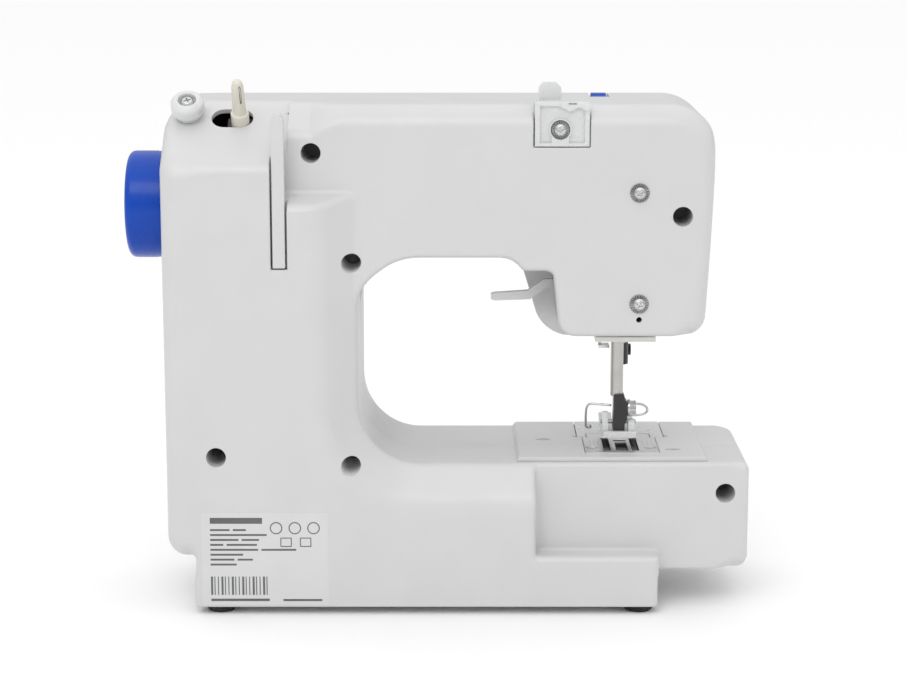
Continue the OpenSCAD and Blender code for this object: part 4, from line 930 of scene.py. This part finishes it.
def make_leaf_spring():
    bow = [(1.5, 0, 12.8), (2.5, 0, 15.5), (2.9, 0, 18.5), (2.3, 0, 21.4), (1.5, 0, 22.3)]
    path = smooth_path(bow, 5)
    return raw("leaf", moved(tube(path, 0.3, 10), on_slope(*SPINDLE) @ SPINDLE_TURN))


def make_stopper():
    profile = [(1.5, 0), (5.6, 0, 0.3), (5.6, 3.2, 0.3), (STOPPER_R, 3.2, 0.7),
               (STOPPER_R, 8.2, 2.2), (5.4, 9.8, 1.2), (4.2, 9.8, 0.5), (4, STOPPER_SEAT),
               (1.5, STOPPER_SEAT)]
    return raw("stopper", moved(lathe(fillet(profile), "z", (0, 0, 0), 72), on_slope(*STOPPER)))


piece("winder_pin", "winder_spindle", make_spindle(), "ivory", ["winder_spindle"], width=0.1)
piece("winder_leaf_spring", "winder_spindle", make_leaf_spring(), "silver")
piece("winder_stop_disc", "machine", make_stopper(), "frosted", ["winder_stopper"])

# --- thread guide ---


def make_thread_guide():
    """Shallow tray with a raised seat for its screw, a wavy hook above it and a tab on the top."""
    back, (x, z) = REAR_Y - 3.4, GUIDE_SCREW
    left, right, low, high = -43.6, -68.2, 215.9, 234.5
    rim = back + 3.3
    wave = smooth_path([(-55.2, 233.6), (-57.6, 232.6), (-59.6, 231.8), (-63.4, 233.6),
                        (-66.4, 232.0), (right, 232.4)], 4)
    hook = fillet([(right, 236, 0.8), (-55.2, 236, 0.5)] + [tuple(q) for q in wave])
    tab = fillet([(-46.2, 235), (-45.3, 238, 1), (-45.6, 241.8, 1), (-47.6, 244, 0.8),
                  (-53.4, 244, 0.8), (-55.6, 241.8, 1), (-56, 238, 1), (-55, 235)])
    adds = [
        box((left - 2.2, back, low), (left, rim, high)),
        box((right, back, low), (right + 2.0, rim, 232.4)),
        box((right, back, low), (left, rim, low + 1.5)),
        box((x - 3.9, back, low), (x + 3.9, rim + 0.1, 222)),
        lathe([(1.4, back), (5.1, back), (5.1, rim), (1.4, rim)], "y", (x, 0, z), 48),
        prism(hook, "y", back, back + 3.9),
        box((-56, back - 8, 234), (left, back + 3.2, 236)),
        prism(tab, "y", back - 8, back - 5.5),
    ]
    seat = [(0, 20), (1.55, 20), (1.55, back + 1.9), (4.45, back + 1.9), (4.45, 60), (0, 60)]
    cuts = [
        lathe(seat, "y", (x, 0, z), 48),
        box((-62.2, back + 1.5, 234.9), (-58.6, 60, 235.4)),
        box((-47.6, back - 9, 235.2), (-46.8, back - 4, 236.6)),
        box((-54.6, back - 9, 235.2), (-53.8, back - 4, 236.6)),
    ]
    return carve(raw("guide", box((right, back, low), (left, back + 2.2, high))), cuts, adds)


piece("thread_guide", "machine", make_thread_guide(), "frosted", ["thread_guide_bracket"])

# --- presser bar and foot ---


SCREW_R = 1.45


def make_presser_bar():
    x, y = PRESSER
    profile = [(0, 90), (1.5, 90), (1.5, BAR_LOW), (2.7, BAR_LOW), (3, BAR_LOW + 0.3), (3, 214),
               (0, 214)]
    lug_x, low, top = LIFTER[0] - 0.5, LIFTER[1] + 10.4, LIFTER[1] + 15
    # collar of the spring, and the arm that reaches round to the lifter lever
    return carve(raw("bar", lathe(profile, "z", (x, y, 0), 40)), adds=[
        box((-89.5, 11.3, 161), (-79.8, 19.5, 170)), box((-87, y, low), (-82, 26.6, top)),
        box((-87, 23.6, low), (lug_x, 26.6, top)), box((lug_x - 4, 15.5, low), (lug_x, 26.6, top)),
    ])


def make_foot_holder():
    y = PRESSER[1]
    outline = fillet([
        (-82.2, 96.8, 0.5), (-87.2, 96.8, 0.8), (-87.4, 94.2, 0.6), (-88.6, 93, 0.6),
        (-88.6, 84.6, 0.6), (-87.5, 82.6, 0.6), (-87.5, 79.4, 0.4), (-82, 79.4, 0.4),
        (-82, 84, 0.5), (-82.2, 90),
    ], steps=3)
    socket = [(0, 89), (1.5, 89), (1.5, BAR_LOW), (3.05, BAR_LOW), (3.05, 99), (0, 99)]
    return carve(raw("holder", prism(outline, "y", y - 4, y + 4)), cuts=[
        lathe(socket, "z", (PRESSER[0], y, 0), 40),
        rod("x", 1.5, -93, -87, (0, y, FOOT_SCREW_Z), 32),
        rod("x", 1.15, -92, -78, (0, y, FOOT_PIN_Z), 32),
        box((-92, y - 0.9, 76), (-78, y + 0.9, FOOT_PIN_Z)),
    ])


def knurled(x0, x1, r, teeth, cut, y, z):
    """Knob along X with fine teeth round its rim."""
    outline = []
    for k in range(teeth):
        for part, radius in ((0.0, r), (0.35, r), (0.5, r - cut), (0.85, r - cut)):
            t = 2 * math.pi * (k + part) / teeth
            outline.append((y + radius * math.cos(t), z + radius * math.sin(t)))
    return prism(outline, "x", x0, x1)


def make_foot_screw():
    y, z = PRESSER[1], FOOT_SCREW_Z
    collar = [(0, -90.1), (4, -90.1, 0.2), (4, -88.9, 0.3), (0, -88.9)]
    return carve(raw("thumb", knurled(-92.8, -90.1, 3.4, 26, 0.3, y, z)), adds=[
        turned(collar, "x", (0, y, z), 48), rod("x", SCREW_R, -89, -87.4, (0, y, z), 24),
    ], cuts=[box((-94, y - 0.5, z - 5), (-92, y + 0.5, z + 5))])


def make_clamp_screw():
    y, z = -1.0, CLAMP_SCREW_Z
    knob = raw("clamp", knurled(-91.2, -88.9, 2.7, 14, 0.4, y, z))
    return carve(knob, adds=[rod("x", SCREW_R, -89, -87, (0, y, z), 24)])


def make_finger_guard():
    """Wire hook beside the needle, and the wire loop behind the thumb screw."""
    hook = [(-80.9, 14, 90.6), (-74, 13.6, 91.1), (-71.2, 13, 90.9), (-69.9, 12.4, 89.3),
            (-69.6, 11, 86), (-69.7, 8.5, 81.5), (-69.9, 6, 78.8), (-71, 4.8, 77.7),
            (-72.2, 5.4, 78.1), (-71.8, 6.4, 79.1)]
    loop = [(-87.9, 11.3, 90.2), (-88.9, 9.5, 90.3), (-93, 9.2, 90.3), (-96.8, 9.1, 89.7),
            (-98.8, 9, 87.8), (-98.3, 8.8, 85.9), (-96, 8.8, 84.9), (-92.5, 9, 84.6),
            (-88.9, 9.5, 84.9), (-87.9, 11.3, 85.2)]
    return raw("guard", joined(*[tube(smooth_path(wire), 0.55) for wire in (hook, loop)]))


def make_presser_foot():
    low = 76.5
    sole = fillet([(-93, -6), (-93, 19.5, 2), (-91, 22, 1.5), (-79, 22, 1.5), (-77, 19.5, 2),
                   (-77, -6)], steps=3)
    toe = fillet([(-5, low), (-5, low + 1.8), (-12.2, low + 4.9, 0.6), (-13.1, low + 3.4, 0.6)],
                 steps=3)
    tall = fillet([(11.2, low + 1), (19, low + 1), (18.6, 82.6, 2), (17, 88, 0.9), (14, 88, 0.9),
                   (12, 83, 2)], steps=3)
    short = fillet([(11.2, low + 1), (19, low + 1), (18.6, 82.6, 1.6), (17.2, 84.2, 0.8),
                    (13, 84.2, 0.8), (11.6, 82, 1.6)], steps=3)
    gap = fillet([(-89, -20), (-89, 8, 2), (-83, 8, 2), (-83, -20)], steps=4)
    return carve(raw("foot", prism(sole, "z", low, low + 1.9)), adds=[
        prism(toe, "x", -93, -77), prism(tall, "x", -79.6, -77), prism(short, "x", -92.2, -89.2),
        box((-92.6, 19.4, low), (-77.4, 21.6, low + 3)),
    ], cuts=[
        prism(gap, "z", low - 1, low + 8), box((-87.2, 10.4, low - 1), (-82.2, 13.4, low + 8)),
    ])


def make_foot_pin():
    profile = [(0, -92.9), (0.95, -92.9, 0.3), (0.95, -76.3, 0.3), (0, -76.3)]
    return raw("pin", turned(profile, "x", (0, PRESSER[1], FOOT_PIN_Z), 24))


piece("presser_rod", "presser_bar", make_presser_bar(), "steel", ["presser_bar"], width=0.25)
piece("foot_ankle", "presser_bar", make_foot_holder(), "black_metal", ["foot_holder"], width=0.2)
piece("finger_guard_wire", "presser_bar", make_finger_guard(), "silver", ["finger_guard"])
piece("foot_thumb_screw", "foot_screw", make_foot_screw(), "silver", ["foot_screw"], width=0.08)
piece("clamp_thumb_screw", "needle_clamp_screw", make_clamp_screw(), "black_metal",
      ["needle_clamp_screw"], width=0.1)
piece("sewing_foot", "presser_foot", make_presser_foot(), "frosted", ["presser_foot"], width=0.2)
piece("sewing_foot_pin", "presser_foot", make_foot_pin(), "dark_steel")

# --- label and marks ---


def ribbon(points, width):
    """Outline of a flat stroke of even width along points."""
    p = [np.array(q, float) for q in points]
    sides = [[], []]
    for i, q in enumerate(p):
        along = p[min(i + 1, len(p) - 1)] - p[max(i - 1, 0)]
        along = along / np.linalg.norm(along)
        across = np.array((-along[1], along[0])) * width / 2
        sides[0].append(tuple(q + across))
        sides[1].append(tuple(q - across))
    return sides[0] + sides[1][::-1]


LABEL_LOW, LABEL_HIGH = (50.6, 4.8), (108.9, 48.9)
ROWS = ((9, 6), (26,), (13, 8), (6, 14), (22, 16), (15,), (11, 7), (12,))
TOP_ROW, ROW_STEP, ROW_HALF, ROW_GAP = 40.6, 2.35, 0.45, 1.5


def make_label():
    outline = rounded(LABEL_LOW, LABEL_HIGH, 1.2)
    return raw("label", prism(outline, "y", DEEP_Y - 0.01, DEEP_Y + 0.1))


def make_label_bars():
    """Plain bars, rings and frames in place of a rating label's print."""
    y0, y1 = DEEP_Y + 0.09, DEEP_Y + 0.14
    left = LABEL_HIGH[0] - 4
    bars = [box((left - 24, y0, 43.6), (left, y1, 46.4))]
    for row, lengths in enumerate(ROWS):
        at, z = left, TOP_ROW - row * ROW_STEP
        for length in lengths:
            bars.append(box((at - length, y0, z - ROW_HALF), (at, y1, z + ROW_HALF)))
            at -= length + ROW_GAP
    for k in range(17):
        thick = 0.45 if k % 3 else 0.95
        bars.append(box((left - 1.6 * k - thick, y0, 9.6), (left - 1.6 * k, y1, 18.4)))
    bars.append(box((left - 27, y0, 6.6), (left, y1, 7.8)))
    bars.append(box((LABEL_LOW[0] + 3, y0, 6.6), (LABEL_LOW[0] + 21, y1, 7.6)))
    ring = [(2.4, y0), (2.9, y0), (2.9, y1), (2.4, y1)]
    bars += [lathe(ring, "y", (x, 0, 41.5), 32) for x in (74.5, 65.9, 57.3)]
    for x in (70, 61):
        a, b, c, d = (x - 2.4, 32.8), (x + 2.4, 32.8), (x - 2.4, 36.8), (x + 2.4, 36.8)
        for ends in ((a, b), (c, d), (a, c), (b, d)):
            bars.append(prism(ribbon(ends, 0.45), "y", y0, y1))
    return raw("bars", joined(*bars))


def make_bed_marks():
    """Plain strokes, each a run of points with its width."""
    z0, z1 = PLATE_Z - 0.05, PLATE_Z + 0.04
    strokes = [
        ([(-46.4, 1.6), (-49, 3.2), (-51.4, 3.0), (-53.2, 1.8)], 0.6),
        ([(-48.4, 0.4), (-52, 1.0)], 0.45),
        ([(-106.4, 22.4), (-109.6, 21.6), (-113.6, 22.2)], 0.7),
        ([(-109, 23.4), (-111.6, 23.2)], 0.5),
    ]
    return raw("marks", joined(*[prism(ribbon(p, w), "z", z0, z1) for p, w in strokes]))


def make_cover_nubs():
    z = PLATE_Z
    profile = [(0, z - 0.3), (1.0, z - 0.3), (1.0, z + 0.5, 0.4), (0, z + 0.6)]
    return raw("nubs", joined(*[turned(profile, "z", (x, -4.2, 0), 28) for x in (-64.9, -109.1)]))


def make_plate_lines():
    """Engraved seam guide lines on the needle plate."""
    z0, z1 = PLATE_Z - 0.05, PLATE_Z + 0.02
    places = (-75.4, -73.6, -71.8, -97, -99, -101)
    return raw("lines", joined(*[box((x - 0.12, 3, z0), (x + 0.12, 15, z1)) for x in places]))


def make_dial_ticks():
    x, z = PATTERN_DIAL
    tick = box((-0.4, FRONT_Y - 12.04, 17.6), (0.4, FRONT_Y - 11.9, 20.2))
    turns = [Matrix.Translation((x, 0, z)) @ Matrix.Rotation(math.radians(30 * k), 4, "Y")
             for k in range(12)]
    return raw("ticks", joined(*[moved(tick, turn) for turn in turns]))


STITCH_R, STITCH_START, STITCH_STEP, STITCH_L = 29, 205, 28.75, 6


def make_front_marks():
    """Pointer of the pattern dial, and small plain stitch symbols in an arc around it.

    The first five symbols are zigzags and the others dashes; the pointer takes one's place.
    """
    y0, y1 = FRONT_Y - 0.06, FRONT_Y + 0.1
    x, z = PATTERN_DIAL
    marks = [prism([(x - 1.6, z + 26), (x + 1.6, z + 26), (x, z + 23)], "y", y0, y1)]
    for k in range(9):
        a = math.radians(STITCH_START - STITCH_STEP * k)
        cx, low = x + STITCH_R * math.cos(a), z + STITCH_R * math.sin(a) - STITCH_L / 2
        if abs(cx - x) < 3:
            continue
        if k < 5:
            step = 0.6 + 0.25 * k
            path = [(cx + (0.9 if i % 2 else -0.9), low + i * step)
                    for i in range(int(STITCH_L / step) + 1)]
            marks.append(prism(ribbon(path, 0.35), "y", y0, y1))
        else:
            dash = 0.5 + 0.35 * (k - 4)
            pitch = dash + 0.6
            marks += [box((cx - 0.25, y0, low + i * pitch), (cx + 0.25, y1, low + i * pitch + dash))
                      for i in range(int(STITCH_L / pitch) + 1)]
    return raw("stitches", joined(*marks))


piece("label_sheet", "machine", make_label(), "paper", ["rating_label"])
piece("label_bars", "machine", make_label_bars(), "ink")
piece("bed_marks", "machine", make_bed_marks(), "ink")
piece("cover_nubs", "machine", make_cover_nubs(), "grey_trim")
piece("plate_lines", "machine", make_plate_lines(), "pale_ink")
piece("pattern_ticks", "pattern_dial", make_dial_ticks(), "body")
piece("front_marks", "machine", make_front_marks(), "ink")

# --- camera, light and floor ---

CAMERA_AT, CAMERA_DOWN = (-0.007, 1.107, 0.337), 11.35
SENSOR, FOCAL_WIDTHS = 36, 2376 / 907  # focal length in widths of the frame
SKY_LOW, SKY_HIGH = 0.43, 1.34
KEY_AT, KEY_AIM = (0.35, 1.7, 1.75), (0, 0, 0.12)
FLOOR = 12

scene = bpy.context.scene
camera = bpy.data.objects.new("camera", bpy.data.cameras.new("camera"))
scene.collection.objects.link(camera)
camera.location = CAMERA_AT
camera.rotation_euler = (math.radians(90 - CAMERA_DOWN), 0, math.pi)
camera.data.sensor_width, camera.data.lens = SENSOR, SENSOR * FOCAL_WIDTHS
camera.data.clip_start, camera.data.clip_end = 0.01, 100
scene.camera = camera

world = bpy.data.worlds.new("studio")
scene.world = world
world.use_nodes = True
sky, sky_links = world.node_tree.nodes, world.node_tree.links
direction = sky.new("ShaderNodeTexCoord")
split = sky.new("ShaderNodeSeparateXYZ")
rise = put(sky.new("ShaderNodeMapRange"), To_Min=SKY_LOW, To_Max=SKY_HIGH)
put(sky["Background"], Color=(1, 1, 1, 1))
sky_links.new(direction.outputs["Generated"], split.inputs["Vector"])
sky_links.new(split.outputs["Z"], rise.inputs["Value"])
sky_links.new(rise.outputs["Result"], sky["Background"].inputs["Strength"])

key = bpy.data.lights.new("light_key", "AREA")
key.shape, key.size, key.size_y, key.energy = "RECTANGLE", 1.6, 1.0, 13.0
lamp = bpy.data.objects.new("light_key", key)
lamp.location = KEY_AT
lamp.rotation_euler = (Vector(KEY_AIM) - Vector(KEY_AT)).to_track_quat("-Z", "Y").to_euler()
scene.collection.objects.link(lamp)

floor_mesh = bpy.data.meshes.new("floor")
corners = [(FLOOR * a, FLOOR * b, 0) for a, b in ((-1, -1), (1, -1), (1, 1), (-1, 1))]
floor_mesh.from_pydata(corners, [], [(0, 1, 2, 3)])
floor = bpy.data.objects.new("floor", floor_mesh)
scene.collection.objects.link(floor)
floor_mesh.materials.append(material("floor_pale", (0.96,) * 3, 0.6, grain=60, bump=0.02,
                                     tint=0.004, spread=0.02))

scene.view_settings.view_transform = "Standard"
